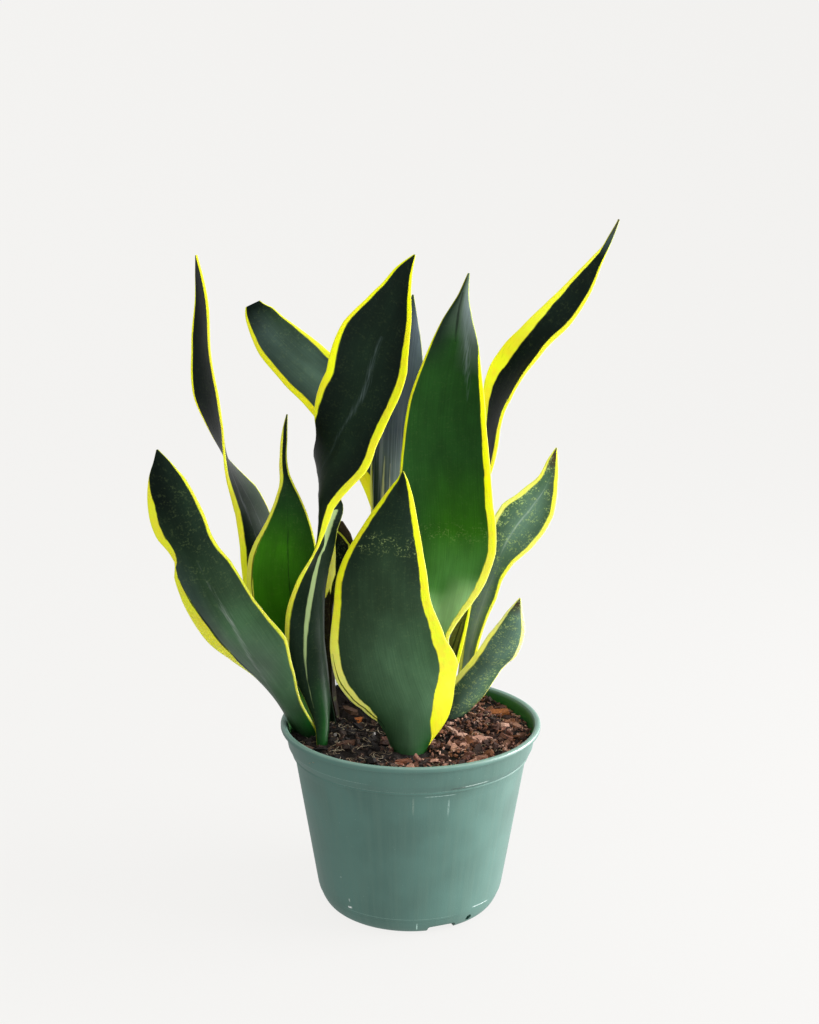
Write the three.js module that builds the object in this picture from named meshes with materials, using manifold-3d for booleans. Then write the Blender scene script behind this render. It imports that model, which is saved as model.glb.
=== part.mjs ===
// A snake plant in a green nursery pot: thirteen sword leaves with yellow margins, each its own
// solid, standing in bark potting mix. Millimetres, +Z up, the front towards -Y, and the origin
// at the centre of the pot's foot.
import * as THREE from "three";
import { mergeVertices } from "three/addons/utils/BufferGeometryUtils.js";
import Module from "manifold-3d";

const wasm = await Module();
wasm.setup();

// ---- Driving dimensions ----
const FIT_GAP = 0.3; // clearance between pieces that touch

const POT_HEIGHT = 112.3;
const LIP_RADIUS = 77.5;
const LIP_DEPTH = 3.4; // height of the rolled lip
const BAND_TOP_RADIUS = 74.6; // the plain band below the lip
const BAND_FOOT_RADIUS = 73.2;
const BAND_FOOT_Z = 99;
const RIDGE_RADIUS = 71; // fine ridge under the band
const RIDGE_Z = 94.4;
const WALL_TOP_RADIUS = 68.6;
const WALL_TOP_Z = 88;
const WALL_FOOT_RADIUS = 56.2;
const WALL_FOOT_Z = 12;
const FOOT_RADIUS = 49.2; // outer radius of the ring that the pot stands on
const FOOT_RING_WIDTH = 7;
const FOOT_STEP = 0.4; // the wall steps in this much above the rounded foot
const FOOT_ROUND = [[1.4, 0.6], [2.8, 1.8], [4, 3.8], [5.2, 6.4], [5.9, 8.8]]; // out and up
const CHANNEL_HEIGHT = 4; // raised drainage channel inside the foot ring
const PAD_RADIUS = 19; // flat pad in the middle of the underside
const POT_WALL = 1.4;
const POT_SIDES = 48;

const NOTCH_COUNT = 3; // drainage notches through the foot, each with a small hole beside it
const NOTCH_TURN = 21; // degrees from the front to the first notch
const NOTCH_WIDTH = 17;
const NOTCH_HEIGHT = 4.2;
const NOTCH_DEPTH = 13;
const DRAIN_HOLE_RADIUS = 2.6;
const DRAIN_HOLE_TURN = 19; // degrees from a notch to its hole

const SOIL_TOP = 103.5; // mean height of the mix
const SOIL_RISE = 0.05; // its slope, up towards the back
const SOIL_RINGS = [0.2, 0.4, 0.6, 0.8, 0.93]; // fractions of the soil's radius
const SOIL_SIDES = 36;
const SOIL_SWELL = 1.5; // unevenness of its top
const HOLE_TOP = 118; // the leaves' holes are cut up to here, above every chip
const CHIP_COUNT = 30;
const CHIP_LENGTH = [6, 14];
const CHIP_SEED = 11;

const MARGIN_THICKNESS = 1;
const TIP_WIDTH = 1.2; // no ring of a leaf is narrower
const COLOURS = {
  pot: 0x5f8575,
  soil: 0x4a3328,
  leaf: 0x24442c,
};

// A leaf is a list of stations from its root to its tip. Each station is
// [x, y, z of the midrib, width, turn, cup]: turn is how far the face is turned about the
// upright, 0 towards the front, and cup is how far the margins stand in front of the midrib.
// thick is the blade's thickness at the midrib near the root, cells how many it has across
// and along, and wave is [height, number, phase] of the ripples along the margins.
const LEAVES = {
  leaf_front: {
    thick: 4,
    cells: [6, 26],
    wave: [1.2, 2, 0.3],
    stations: [
      [1, -29, 80, 17, 0, -7],
      [0, -31, 103, 20, 0, -8],
      [0, -32, 124, 43, 0, -8],
      [-7, -32, 145, 69, 0, -8],
      [-12, -32, 167, 70, 0, -6],
      [-15, -31, 190, 57, 0, -5],
      [-15, -30, 212, 49, 0, -4],
      [-12, -29, 234, 34, 0, -3],
      [-8, -28, 254, 17, 0, -2],
      [-5, -27, 268, 1.2, 0, 0],
    ],
  },
  leaf_far_left: {
    thick: 3.6,
    cells: [4, 26],
    wave: [1.5, 1.5, 0.5],
    stations: [
      [-56, 3, 82, 12, -30, -4],
      [-63, -7, 104, 14, -30, -3],
      [-72, -15, 125, 17, -30, -4],
      [-82, -20, 144, 29, -22, -6],
      [-95, -22, 161, 38, -10, -8],
      [-108, -22, 179, 39, 0, -8],
      [-118, -24, 200, 34, 0, -7],
      [-126, -26, 222, 27, 0, -4],
      [-134, -27, 242, 27, 0, -3],
      [-139, -29, 262, 18, 0, -2],
      [-141, -30, 280, 1.2, 0, 0],
    ],
  },
  leaf_left_tall: {
    thick: 3.6,
    cells: [4, 30],
    wave: [0.8, 2, 0],
    stations: [
      [-42, 35, 80, 14, -140, 6],
      [-47, 34, 104, 16, -140, 7],
      [-63, 32, 140, 26, -138, 7],
      [-79, 30, 172, 33, -136, 6],
      [-86, 27, 204, 34, -131, 5],
      [-92, 22, 236, 28, -112, 4],
      [-106, 13, 268, 26, -80, 2],
      [-116, 6, 302, 30, -56, 3],
      [-118, 3, 332, 26, -62, 3],
      [-118, 0, 360, 16, -62, 1],
      [-121, 0, 385, 1.2, -60, 0],
    ],
  },
  leaf_left_small: {
    thick: 3.4,
    cells: [4, 24],
    wave: [0.8, 2, 0.5],
    stations: [
      [-52, 19, 80, 15, 0, 6],
      [-55, 18, 104, 17, 0, 7],
      [-64, 17, 132, 26, 0, 6],
      [-74, 16, 161, 37, 0, 5],
      [-78, 14, 187, 42, 0, 4],
      [-76, 11, 211, 39, 0, 3],
      [-73, 8, 232, 25, 0, 2],
      [-73, 6, 251, 9, 0, 2],
      [-75, 5, 267, 5, 0, 1],
      [-74, 4, 282, 4, 0, 0.5],
      [-72, 4, 295, 1.2, 0, 0],
    ],
  },
  leaf_centre_left: {
    thick: 3.6,
    cells: [6, 32],
    wave: [0.8, 2, 0.2],
    stations: [
      [-50, -18, 80, 7, -140, 2],
      [-51, -18, 103, 7, -140, 2],
      [-51, -11, 115, 10, -140, 4],
      [-53, -4, 128, 19, -140, 5],
      [-55, -2, 143, 28, -140, 7],
      [-56, -2, 160, 34, -138, 8],
      [-56, -1, 180, 36, -135, 6],
      [-55, -3, 200, 36, -125, 1],
      [-52, -6, 220, 36, -113, -4],
      [-52, -9, 242, 37, -97, -9],
      [-45, -10, 264, 42, -56, -4],
      [-35, -10, 288, 43, -22, 2],
      [-29, -9, 312, 47, -5, 4],
      [-24, -8, 334, 43, 0, 4],
      [-15, -6, 356, 30, 0, 3],
      [-6, -4, 375, 13, 0, 1],
      [1, -4, 386, 1.2, 0, 0],
    ],
  },
  leaf_back_left: {
    thick: 3.4,
    cells: [4, 24],
    wave: [0.8, 2, 0],
    stations: [
      [4, 56, 80, 15, 8, -5],
      [4, 55, 104, 17, 8, -6],
      [3, 52, 140, 22, 4, -5],
      [2, 49, 175, 26, 0, -4],
      [-4, 47, 212, 28, 0, -4],
      [-14, 46, 248, 30, 0, -4],
      [-31, 44, 282, 33, 0, -3],
      [-50, 43, 305, 33, 0, -3],
      [-65, 41, 319, 33, 0, -3],
      [-80, 38, 333, 28, 0, -2],
      [-91, 37, 347, 16, 0, -1],
      [-95, 36, 355, 6, 0, 0],
    ],
  },
  leaf_back_centre: {
    thick: 3.4,
    cells: [4, 24],
    wave: [0.8, 2, 0],
    stations: [
      [-11, 37, 80, 14, 0, -6],
      [-11, 36, 104, 16, 0, -6],
      [-10, 35, 140, 22, 0, -5],
      [-9, 34, 175, 28, 0, -4],
      [-8, 33, 210, 32, 0, -4],
      [-8, 33, 244, 34, 0, -3],
      [-7, 32, 278, 34, 0, -3],
      [-5, 30, 308, 27, 0, -2],
      [-2, 28, 336, 16, 0, -1],
      [0, 25, 362, 1.2, 0, 0],
    ],
  },
  leaf_centre_right: {
    thick: 4,
    cells: [6, 28],
    wave: [1.2, 2, 0.6],
    stations: [
      [9, 30, 80, 15, 0, 5],
      [10, 29, 104, 15, 0, 5],
      [12, 27, 130, 15, 0, 6],
      [14, 22, 156, 18, 0, 6],
      [17, 18, 178, 31, 0, 6],
      [21, 14, 202, 48, 0, 6],
      [22, 12, 228, 57, 0, 5],
      [20, 9, 256, 55, 0, 5],
      [19, 6, 284, 49, 0, 4],
      [21, 2, 313, 39, 0, 4],
      [25, -2, 341, 23, 0, 3],
      [28, -4, 361, 9, 0, 1],
      [31, -6, 376, 1.2, 0, 0],
    ],
  },
  leaf_right_tall: {
    thick: 3.6,
    cells: [4, 30],
    wave: [0.8, 2, 0],
    stations: [
      [17, 52, 80, 15, -120, 6],
      [21, 50, 104, 16, -120, 6],
      [30, 47, 150, 22, -116, 6],
      [37, 44, 190, 26, -108, 5],
      [42, 41, 230, 28, -96, 3],
      [47, 39, 268, 29, -78, 1],
      [52, 37, 298, 30, -68, 3],
      [62, 37, 319, 29, -48, 6],
      [74, 37, 337, 22, -16, 4],
      [87, 38, 351, 19, 0, 2],
      [98, 39, 366, 14, 0, 1],
      [108, 41, 384, 6, 0, 1],
      [120, 42, 405, 1.2, 0, 0],
    ],
  },
  leaf_right_leaning: {
    thick: 3.4,
    cells: [4, 22],
    wave: [0.8, 2, 0.4],
    stations: [
      [33, 44, 82, 11, -10, 3],
      [34, 43, 106, 11, -12, 3],
      [36, 41, 134, 10, -24, 3],
      [42, 41, 163, 14, -30, 4],
      [52, 42, 193, 21, -20, 5],
      [62, 42, 216, 27, -4, 4],
      [74, 42, 234, 24, 0, 3],
      [83, 42, 250, 13, 0, 2],
      [87, 40, 270, 1.2, 0, 0],
    ],
  },
  leaf_right_low: {
    thick: 3.2,
    cells: [4, 18],
    wave: [0.8, 1.5, 0.4],
    stations: [
      [17, 17, 80, 16, 6, -5],
      [22, 18, 101, 19, 6, -6],
      [33, 13, 121, 21, 6, -6],
      [44, 8, 139, 18, 4, -5],
      [53, 0, 153, 18, 0, -4],
      [60, -5, 169, 12, 0, -2],
      [63, -10, 190, 1.2, 0, 0],
    ],
  },
  leaf_stub: {
    thick: 3,
    cells: [4, 14],
    wave: [0.4, 1.5, 0],
    stations: [
      [-34, 24, 80, 11, -20, 4],
      [-36, 23, 104, 12, -20, 5],
      [-39, 23, 140, 13, -20, 5],
      [-42, 23, 175, 13, -20, 5],
      [-43, 22, 198, 13, -20, 4],
      [-43, 21, 213, 11, -20, 3],
      [-44, 20, 223, 5, -20, 1],
    ],
  },
  leaf_folded: {
    thick: 3,
    cells: [4, 12],
    wave: [0.4, 1.5, 0],
    stations: [
      [21, 40, 80, 10, -30, 3],
      [20, 38, 104, 12, -30, 4],
      [21, 35, 122, 14, -30, 4],
      [24, 33, 137, 15, -30, 4],
      [28, 32, 152, 13, -30, 3],
      [33, 31, 170, 8, -30, 2],
      [36, 30, 184, 1.2, -30, 0],
    ],
  },
};

const rad = THREE.MathUtils.degToRad;

// ---- Closed meshes and solids ----

// A geometry from points and triangles.
function geometryOf(points, triangles) {
  const flat = new Float32Array(points.flatMap((p) => [p.x, p.y, p.z]));
  const geometry = new THREE.BufferGeometry();
  geometry.setAttribute("position", new THREE.BufferAttribute(flat, 3));
  geometry.setIndex(triangles.flat());
  return geometry;
}

// A closed geometry as a solid that can be cut and joined.
function solidOf(geometry) {
  const bare = geometry.clone();
  bare.deleteAttribute("normal");
  bare.deleteAttribute("uv");
  const merged = mergeVertices(bare, 1e-4);
  const mesh = new wasm.Mesh({
    numProp: 3,
    vertProperties: merged.attributes.position.array,
    triVerts: new Uint32Array(merged.index.array),
  });
  return new wasm.Manifold(mesh);
}

function geometryOfSolid(solid) {
  const mesh = solid.getMesh();
  const geometry = new THREE.BufferGeometry();
  geometry.setAttribute("position", new THREE.BufferAttribute(mesh.vertProperties, 3));
  geometry.setIndex(new THREE.BufferAttribute(mesh.triVerts, 1));
  return geometry;
}

// A profile of [radius, height] pairs turned about the Z axis.
function latheOf(profile, sides) {
  const points = profile.map(([r, z]) => new THREE.Vector2(r, z));
  return new THREE.LatheGeometry(points, sides).rotateX(Math.PI / 2);
}

// ---- Leaves ----

// A smooth curve through the rows of a table, each column on its own; t runs from 0 to 1.
function along(rows, t) {
  const last = rows.length - 1;
  const place = Math.min(t * last, last - 1e-9);
  const i = Math.floor(place);
  const f = place - i;
  const [a, b, c, d] = [i - 1, i, i + 1, i + 2].map((k) => rows[Math.min(Math.max(k, 0), last)]);
  return b.map((_, k) => {
    const bend = 2 * a[k] - 5 * b[k] + 4 * c[k] - d[k];
    const twist = 3 * b[k] - a[k] - 3 * c[k] + d[k];
    return b[k] + 0.5 * f * (c[k] - a[k] + f * (bend + f * twist));
  });
}

// The midrib point, the direction across the blade and the direction that its face looks in.
function frameAt(rows, t) {
  const step = 0.004;
  const here = new THREE.Vector3(...along(rows, t));
  const before = new THREE.Vector3(...along(rows, Math.max(t - step, 0)));
  const after = new THREE.Vector3(...along(rows, Math.min(t + step, 1)));
  const up = after.sub(before).normalize();
  const turn = rad(along(rows, t)[4]);
  const across = new THREE.Vector3(Math.cos(turn), Math.sin(turn), 0);
  across.addScaledVector(up, -across.dot(up)).normalize();
  const face = new THREE.Vector3().crossVectors(across, up);
  return { here, up, across, face };
}

// One ring of a blade: its front face from left to right, then its back face, both offset at
// right angles to the curve of the section. A blade grown by a clearance starts that much lower.
function ringAt(leaf, t, grow) {
  const { here, up, across, face } = frameAt(leaf.stations, t);
  if (t === 0) here.addScaledVector(up, -grow);
  const [, , , width, , cup] = along(leaf.stations, t);
  const halfWidth = 0.5 * Math.max(width, TIP_WIDTH);
  const [height, count, phase] = leaf.wave;
  const ripple = height * Math.sin(2 * Math.PI * (count * t + phase)) * Math.min(1, width / 30);
  const middle = Math.min(leaf.thick * (1 - 0.6 * t), 0.3 * width + 0.8);
  const swell = Math.max(middle - MARGIN_THICKNESS, 0);
  const front = [];
  const back = [];
  for (let i = 0; i <= leaf.cells[0]; i++) {
    const u = (2 * i) / leaf.cells[0] - 1;
    const slope = (2 * cup * u + 3 * ripple * u * u) / halfWidth;
    const sideways = across.clone().addScaledVector(face, slope).normalize();
    const outward = face.clone().addScaledVector(across, -slope).normalize();
    const half = 0.5 * (MARGIN_THICKNESS + swell * (1 - u * u)) + grow;
    const point = here.clone().addScaledVector(across, u * halfWidth);
    point.addScaledVector(face, cup * u * u + ripple * u ** 3);
    if (Math.abs(u) === 1) point.addScaledVector(sideways, u * grow);
    front.push(point.clone().addScaledVector(outward, half));
    back.push(point.clone().addScaledVector(outward, -half));
  }
  return [...front, ...back];
}

// A closed blade over all or the first steps of the leaf. Both faces are split alike.
function bladeOf(leaf, grow = 0, steps = leaf.cells[1]) {
  const edge = leaf.cells[0];
  const columns = edge + 1;
  const points = [];
  const triangles = [];
  const strip = (a, b, c, d) => triangles.push([a, b, d], [a, d, c]);
  for (let j = 0; j <= steps; j++) points.push(...ringAt(leaf, j / leaf.cells[1], grow));
  for (let j = 0; j < steps; j++) {
    const low = j * 2 * columns;
    const high = low + 2 * columns;
    for (let i = 0; i < edge; i++) {
      strip(low + i, low + i + 1, high + i, high + i + 1);
      const [p, q] = [low + columns + i, high + columns + i];
      triangles.push([p, q + 1, p + 1], [p, q, q + 1]);
    }
    strip(low + columns, low, high + columns, high);
    strip(low + edge, low + columns + edge, high + edge, high + columns + edge);
  }
  const top = steps * 2 * columns;
  for (let i = 0; i < edge; i++) {
    strip(top + i, top + i + 1, top + columns + i, top + columns + i + 1);
    strip(columns + i, columns + i + 1, i, i + 1);
  }
  return geometryOf(points, triangles);
}

// How many steps of the blade it takes to rise to a height.
function stepsToHeight(leaf, z) {
  let steps = 1;
  while (along(leaf.stations, steps / leaf.cells[1])[2] < z) steps++;
  return steps;
}

// ---- Pot ----

// The outer side of the pot from the foot to the lip, as [radius, height].
function potOutside() {
  return [
    [FOOT_RADIUS, 0],
    ...FOOT_ROUND.map(([out, up]) => [FOOT_RADIUS + out, up]),
    [FOOT_RADIUS + FOOT_ROUND.at(-1)[0] + FOOT_STEP, FOOT_ROUND.at(-1)[1] + 0.6],
    [WALL_FOOT_RADIUS, WALL_FOOT_Z],
    [WALL_TOP_RADIUS, WALL_TOP_Z],
    [RIDGE_RADIUS - 0.9, RIDGE_Z - 1.2],
    [RIDGE_RADIUS, RIDGE_Z - 0.5],
    [RIDGE_RADIUS, RIDGE_Z + 0.5],
    [BAND_FOOT_RADIUS - 0.8, BAND_FOOT_Z - 2.4],
    [BAND_FOOT_RADIUS, BAND_FOOT_Z],
    [BAND_TOP_RADIUS, POT_HEIGHT - LIP_DEPTH - 0.8],
    [LIP_RADIUS - 1.2, POT_HEIGHT - LIP_DEPTH],
    [LIP_RADIUS, POT_HEIGHT - LIP_DEPTH + 1],
    [LIP_RADIUS, POT_HEIGHT - 1],
    [LIP_RADIUS - 1, POT_HEIGHT],
  ];
}

// The inner side from the lip down to the middle of the floor, grown inwards by a clearance.
// The floor is level inside; the pad and the foot ring are solid below it.
function potInside(clearance) {
  const out = POT_WALL + clearance;
  const floor = CHANNEL_HEIGHT + POT_WALL + clearance;
  return [
    [BAND_FOOT_RADIUS - out, BAND_FOOT_Z],
    [RIDGE_RADIUS - out - 0.9, RIDGE_Z],
    [WALL_TOP_RADIUS - out, WALL_TOP_Z],
    [WALL_FOOT_RADIUS - out, WALL_FOOT_Z],
    [FOOT_RADIUS + 4.7 - out, floor],
    [0, floor],
  ];
}

function potSolid() {
  const under = [
    [0, 0],
    [PAD_RADIUS, 0],
    [PAD_RADIUS + POT_WALL, CHANNEL_HEIGHT],
    [FOOT_RADIUS - FOOT_RING_WIDTH - POT_WALL, CHANNEL_HEIGHT],
    [FOOT_RADIUS - FOOT_RING_WIDTH, 0],
  ];
  const mouth = [
    [LIP_RADIUS - 2.6, POT_HEIGHT],
    [BAND_TOP_RADIUS - POT_WALL, POT_HEIGHT - LIP_DEPTH],
  ];
  let pot = solidOf(latheOf([...under, ...potOutside(), ...mouth, ...potInside(0)], POT_SIDES));
  for (let i = 0; i < NOTCH_COUNT; i++) {
    const turn = NOTCH_TURN + (360 / NOTCH_COUNT) * i;
    pot = pot.subtract(solidOf(notchAt(turn)));
    pot = pot.subtract(solidOf(drainHoleAt(turn + DRAIN_HOLE_TURN)));
  }
  return pot;
}

// A cutter at the foot's edge, turned from the front by so many degrees.
function atFoot(geometry, turn, radius, z) {
  return geometry.translate(0, -radius, z).rotateZ(rad(turn));
}

function notchAt(turn) {
  const box = new THREE.BoxGeometry(NOTCH_WIDTH, NOTCH_DEPTH, 2 * NOTCH_HEIGHT);
  return atFoot(box, turn, FOOT_RADIUS + 0.5 * NOTCH_DEPTH - 3, 0);
}

function drainHoleAt(turn) {
  const hole = new THREE.CylinderGeometry(DRAIN_HOLE_RADIUS, DRAIN_HOLE_RADIUS, 9, 8);
  return atFoot(hole, turn, FOOT_RADIUS + 4, 3.2);
}

// ---- Potting mix ----

// Height of the mix's top at a place on it.
function soilHeight(x, y) {
  const roll = Math.sin(x / 9 + 1) * Math.cos(y / 11) + 0.6 * Math.sin((x + 2 * y) / 7);
  return SOIL_TOP + SOIL_RISE * y + 0.6 * SOIL_SWELL * roll;
}

// The body of the mix: it fills the pot and its top rolls gently.
function soilBody() {
  const side = potInside(FIT_GAP);
  const profile = [[0, SOIL_TOP], ...SOIL_RINGS.map((f) => [f * side[0][0], SOIL_TOP]), ...side];
  const geometry = latheOf(profile.reverse(), SOIL_SIDES);
  const place = geometry.attributes.position;
  for (let i = 0; i < place.count; i++) {
    if (place.getZ(i) < SOIL_TOP - 0.01) continue;
    place.setZ(i, soilHeight(place.getX(i), place.getY(i)));
  }
  return solidOf(geometry);
}

// A fixed list of draws between 0 and 1 for the chips.
function drawsFrom(seed) {
  let state = seed;
  return () => {
    state = (state * 16807) % 2147483647;
    return state / 2147483647;
  };
}

// One flat chip of bark, tilted and sunk into the mix.
function barkChip(draw) {
  const length = CHIP_LENGTH[0] + draw() * (CHIP_LENGTH[1] - CHIP_LENGTH[0]);
  const chip = new THREE.BoxGeometry(length, length * (0.35 + 0.3 * draw()), 3.4);
  chip.rotateX(0.5 * (draw() - 0.5));
  chip.rotateY(0.5 * (draw() - 0.5));
  chip.rotateZ(2 * Math.PI * draw());
  const distance = 60 * Math.sqrt(draw());
  const turn = 2 * Math.PI * draw();
  const x = distance * Math.cos(turn);
  const y = distance * Math.sin(turn);
  return chip.translate(x, y, soilHeight(x, y) + 0.6 * draw());
}

function soilSolid() {
  const draw = drawsFrom(CHIP_SEED);
  let soil = soilBody();
  for (let i = 0; i < CHIP_COUNT; i++) soil = soil.add(solidOf(barkChip(draw)));
  for (const leaf of Object.values(LEAVES)) {
    soil = soil.subtract(solidOf(bladeOf(leaf, FIT_GAP, stepsToHeight(leaf, HOLE_TOP))));
  }
  return soil;
}

// ---- The whole plant ----

function add(group, name, geometry, colour, roughness) {
  const material = new THREE.MeshStandardMaterial({ color: colour, roughness, metalness: 0 });
  const mesh = new THREE.Mesh(geometry, material);
  mesh.name = name;
  group.add(mesh);
}

const plant = new THREE.Group();
add(plant, "pot", geometryOfSolid(potSolid()), COLOURS.pot, 0.45);
add(plant, "potting_mix", geometryOfSolid(soilSolid()), COLOURS.soil, 0.95);
for (const [name, leaf] of Object.entries(LEAVES)) {
  add(plant, name, bladeOf(leaf), COLOURS.leaf, 0.35);
}

export default plant;
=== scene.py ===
import math
import random

import bpy
from mathutils import Matrix, Vector, noise


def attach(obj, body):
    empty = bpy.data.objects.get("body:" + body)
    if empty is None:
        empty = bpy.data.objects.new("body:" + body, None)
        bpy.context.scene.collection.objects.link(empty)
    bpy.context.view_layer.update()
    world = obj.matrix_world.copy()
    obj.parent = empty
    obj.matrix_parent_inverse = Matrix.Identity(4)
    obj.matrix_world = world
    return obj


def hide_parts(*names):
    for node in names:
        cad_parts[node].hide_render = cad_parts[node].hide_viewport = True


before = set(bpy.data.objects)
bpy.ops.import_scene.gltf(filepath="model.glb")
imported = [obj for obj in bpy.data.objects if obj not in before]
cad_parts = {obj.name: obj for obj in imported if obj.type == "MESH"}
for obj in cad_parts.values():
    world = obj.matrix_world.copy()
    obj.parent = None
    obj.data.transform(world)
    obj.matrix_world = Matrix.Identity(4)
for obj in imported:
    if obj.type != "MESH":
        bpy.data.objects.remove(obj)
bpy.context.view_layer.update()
MM = 0.001

# ---- Leaves ----

# Colours of the leaves, as sRGB. Each is a base colour, so it is lighter than it looks in shade.
# The lilac and steel tones are painted sheen, and so is silver on leaf_back_centre and at the tip of
# leaf_centre_right; the olive tone is a margin's yellow in painted shade.
PALETTE = {
    "night": (8, 21, 14), "deep": (20, 37, 24), "moss": (38, 58, 38), "fern": (46, 74, 46),
    "sage": (66, 96, 68), "grey": (88, 106, 90), "mist": (98, 128, 110), "slate": (60, 78, 72),
    "silver": (150, 168, 168), "lilac": (96, 100, 98), "vivid": (40, 92, 8), "lush": (50, 112, 8),
    "leafy": (26, 64, 20), "bright": (72, 128, 56), "pale": (172, 224, 146), "base": (22, 74, 26),
    "olive": (98, 94, 44), "umber": (70, 58, 44), "steel": (88, 100, 108), "bark": (44, 38, 36),
}
# The margins go from lime to yellow, and to cream where the tables say so. They have streaks, dark
# lines, some of them painted shade, a dull rim, and a seam between them and the green.
LIME = (222, 236, 24)
YELLOW = (228, 214, 40)
CREAM = (246, 242, 170)
MARGIN_STREAK = (170, 196, 40)
MARGIN_LINE_AND_SHADE = (70, 84, 30)
MARGIN_RIM = (196, 186, 80)
SEAM = (96, 128, 30)
# Marks on the green: light mottle, silver streaks of painted sheen with dull ones between them, and
# dark stripes, some of them painted shade.
MOTTLE = (176, 200, 122)
SHEEN_STREAK = (190, 202, 206)
DULL_STREAK = (44, 58, 52)
DARK_STRIPE_AND_SHADE = (8, 18, 10)

MARGIN_THICKNESS = 1.0
TIP_THINNING = 0.6  # the share of a blade's thickness that it loses by its tip
FULL_RIPPLE_WIDTH = 30  # narrower blades ripple less
ROWS_PER_STATION = 8
COLUMNS = 26  # across one face of a blade; they crowd together towards the margins
LEAST_HALF_WIDTH = 0.25
SLOPE_STEP = 0.004  # along the blade, when its direction is measured
EDGE_TONE_FROM = 0.8  # the place across, from 0 to 1, where a tone at the side is reached
FULL_RAGGED_MARGIN = 4  # margins narrower than this have a less ragged seam
SEED_STEP = 3.7  # between the patterns of one leaf and the next

# The tables of the leaves. The stations are those of the imported solids, but for the top of the
# stub: (x, y, z of the midrib, width, turn, cup). Thick is the middle's thickness low down, and the
# wave is a ripple's height, count and phase.
# The looks are tables against the midrib's height:
# edges (z, left, right) are small departures of the outline from the plain width,
# shift (z, sideways) small departures of the midrib,
# margins (z, left, right) are the widths of the yellow margins,
# tones (z, "left middle right"), or one name for all three, are the colours across the front face,
# with painted sheen and painted shade in some of them,
# back the same for the back face, where it differs,
# cream (z, amount), or (z, left, right), is how pale the margins are,
# stripes are name: (face, softness, [(z, place across from -1 to 1, half width)]), and a colour if
# they are pale; some pale ones are painted sheen and highlights, and some dark ones painted shade,
# bands and streaks (z, amount) are how strong the light mottle and the painted silver sheen streaks are.
LEAVES = {}
LEAVES["leaf_front"] = {
    "thick": 4, "wave": (1.2, 2, 0.3),
    "stations": [
        (1, -29, 80, 17, 0, -7), (0, -31, 103, 20, 0, -8), (0, -32, 124, 43, 0, -8),
        (-7, -32, 145, 69, 0, -8), (-12, -32, 167, 70, 0, -6), (-15, -31, 190, 57, 0, -5),
        (-15, -30, 212, 49, 0, -4), (-12, -29, 234, 34, 0, -3), (-8, -28, 254, 17, 0, -2),
        (-5, -27, 268, 1.2, 0, 0),
    ],
    "edges": [
        (101, 1.4, 0.3), (114, 1.6, 1.4), (127, -1.5, 2.8), (137, -4.2, 2.4), (144, -2.2, 1.2),
        (152, -0.6, -0.6), (165, -0.2, -3.6), (184, 0.8, -2.2), (205, 1.4, -1.2), (228, -0.8, 0),
        (250, -1.9, 0.6), (263, -1.5, 0.8), (268, 0, 0),
    ],
    "margins": [
        (100, 0, 0.6), (108, 0, 2), (112, 0, 4), (117, 0, 8.5), (122, 0.3, 12), (130, 4.5, 13.4),
        (145, 7, 11.5), (160, 6, 8.4), (180, 5, 5.8), (200, 4, 4.8), (225, 3, 4), (250, 2.5, 3.4),
        (262, 1.2, 1.6), (268, 0.2, 0.2),
    ],
    # The sage down the lower middle is painted sheen.
    "tones": [
        (95, "leafy base leafy"), (108, "fern sage base"), (127, "fern sage sage"),
        (156, "moss sage fern"), (190, "moss"), (215, "deep moss deep"), (240, "deep"),
        (268, "moss night night"),
    ],
    "cream": [
        (104, 0, 0), (118, 0.6, 0), (135, 0.6, 0.06), (155, 0.5, 0.06), (185, 0.1, 0.05), (200, 0, 0),
    ],
    "stripes": {
        "dark_a": ("front", 0.5, [
            (114, -0.84, 0.2), (130, -0.88, 0.6), (150, -0.93, 0.5), (168, -0.95, 0),
        ]),
    },
    "bands": [(120, 0.03), (219, 0.05), (223, 0.5), (229, 0.5), (233, 0.05), (268, 0.03)],
}
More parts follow.
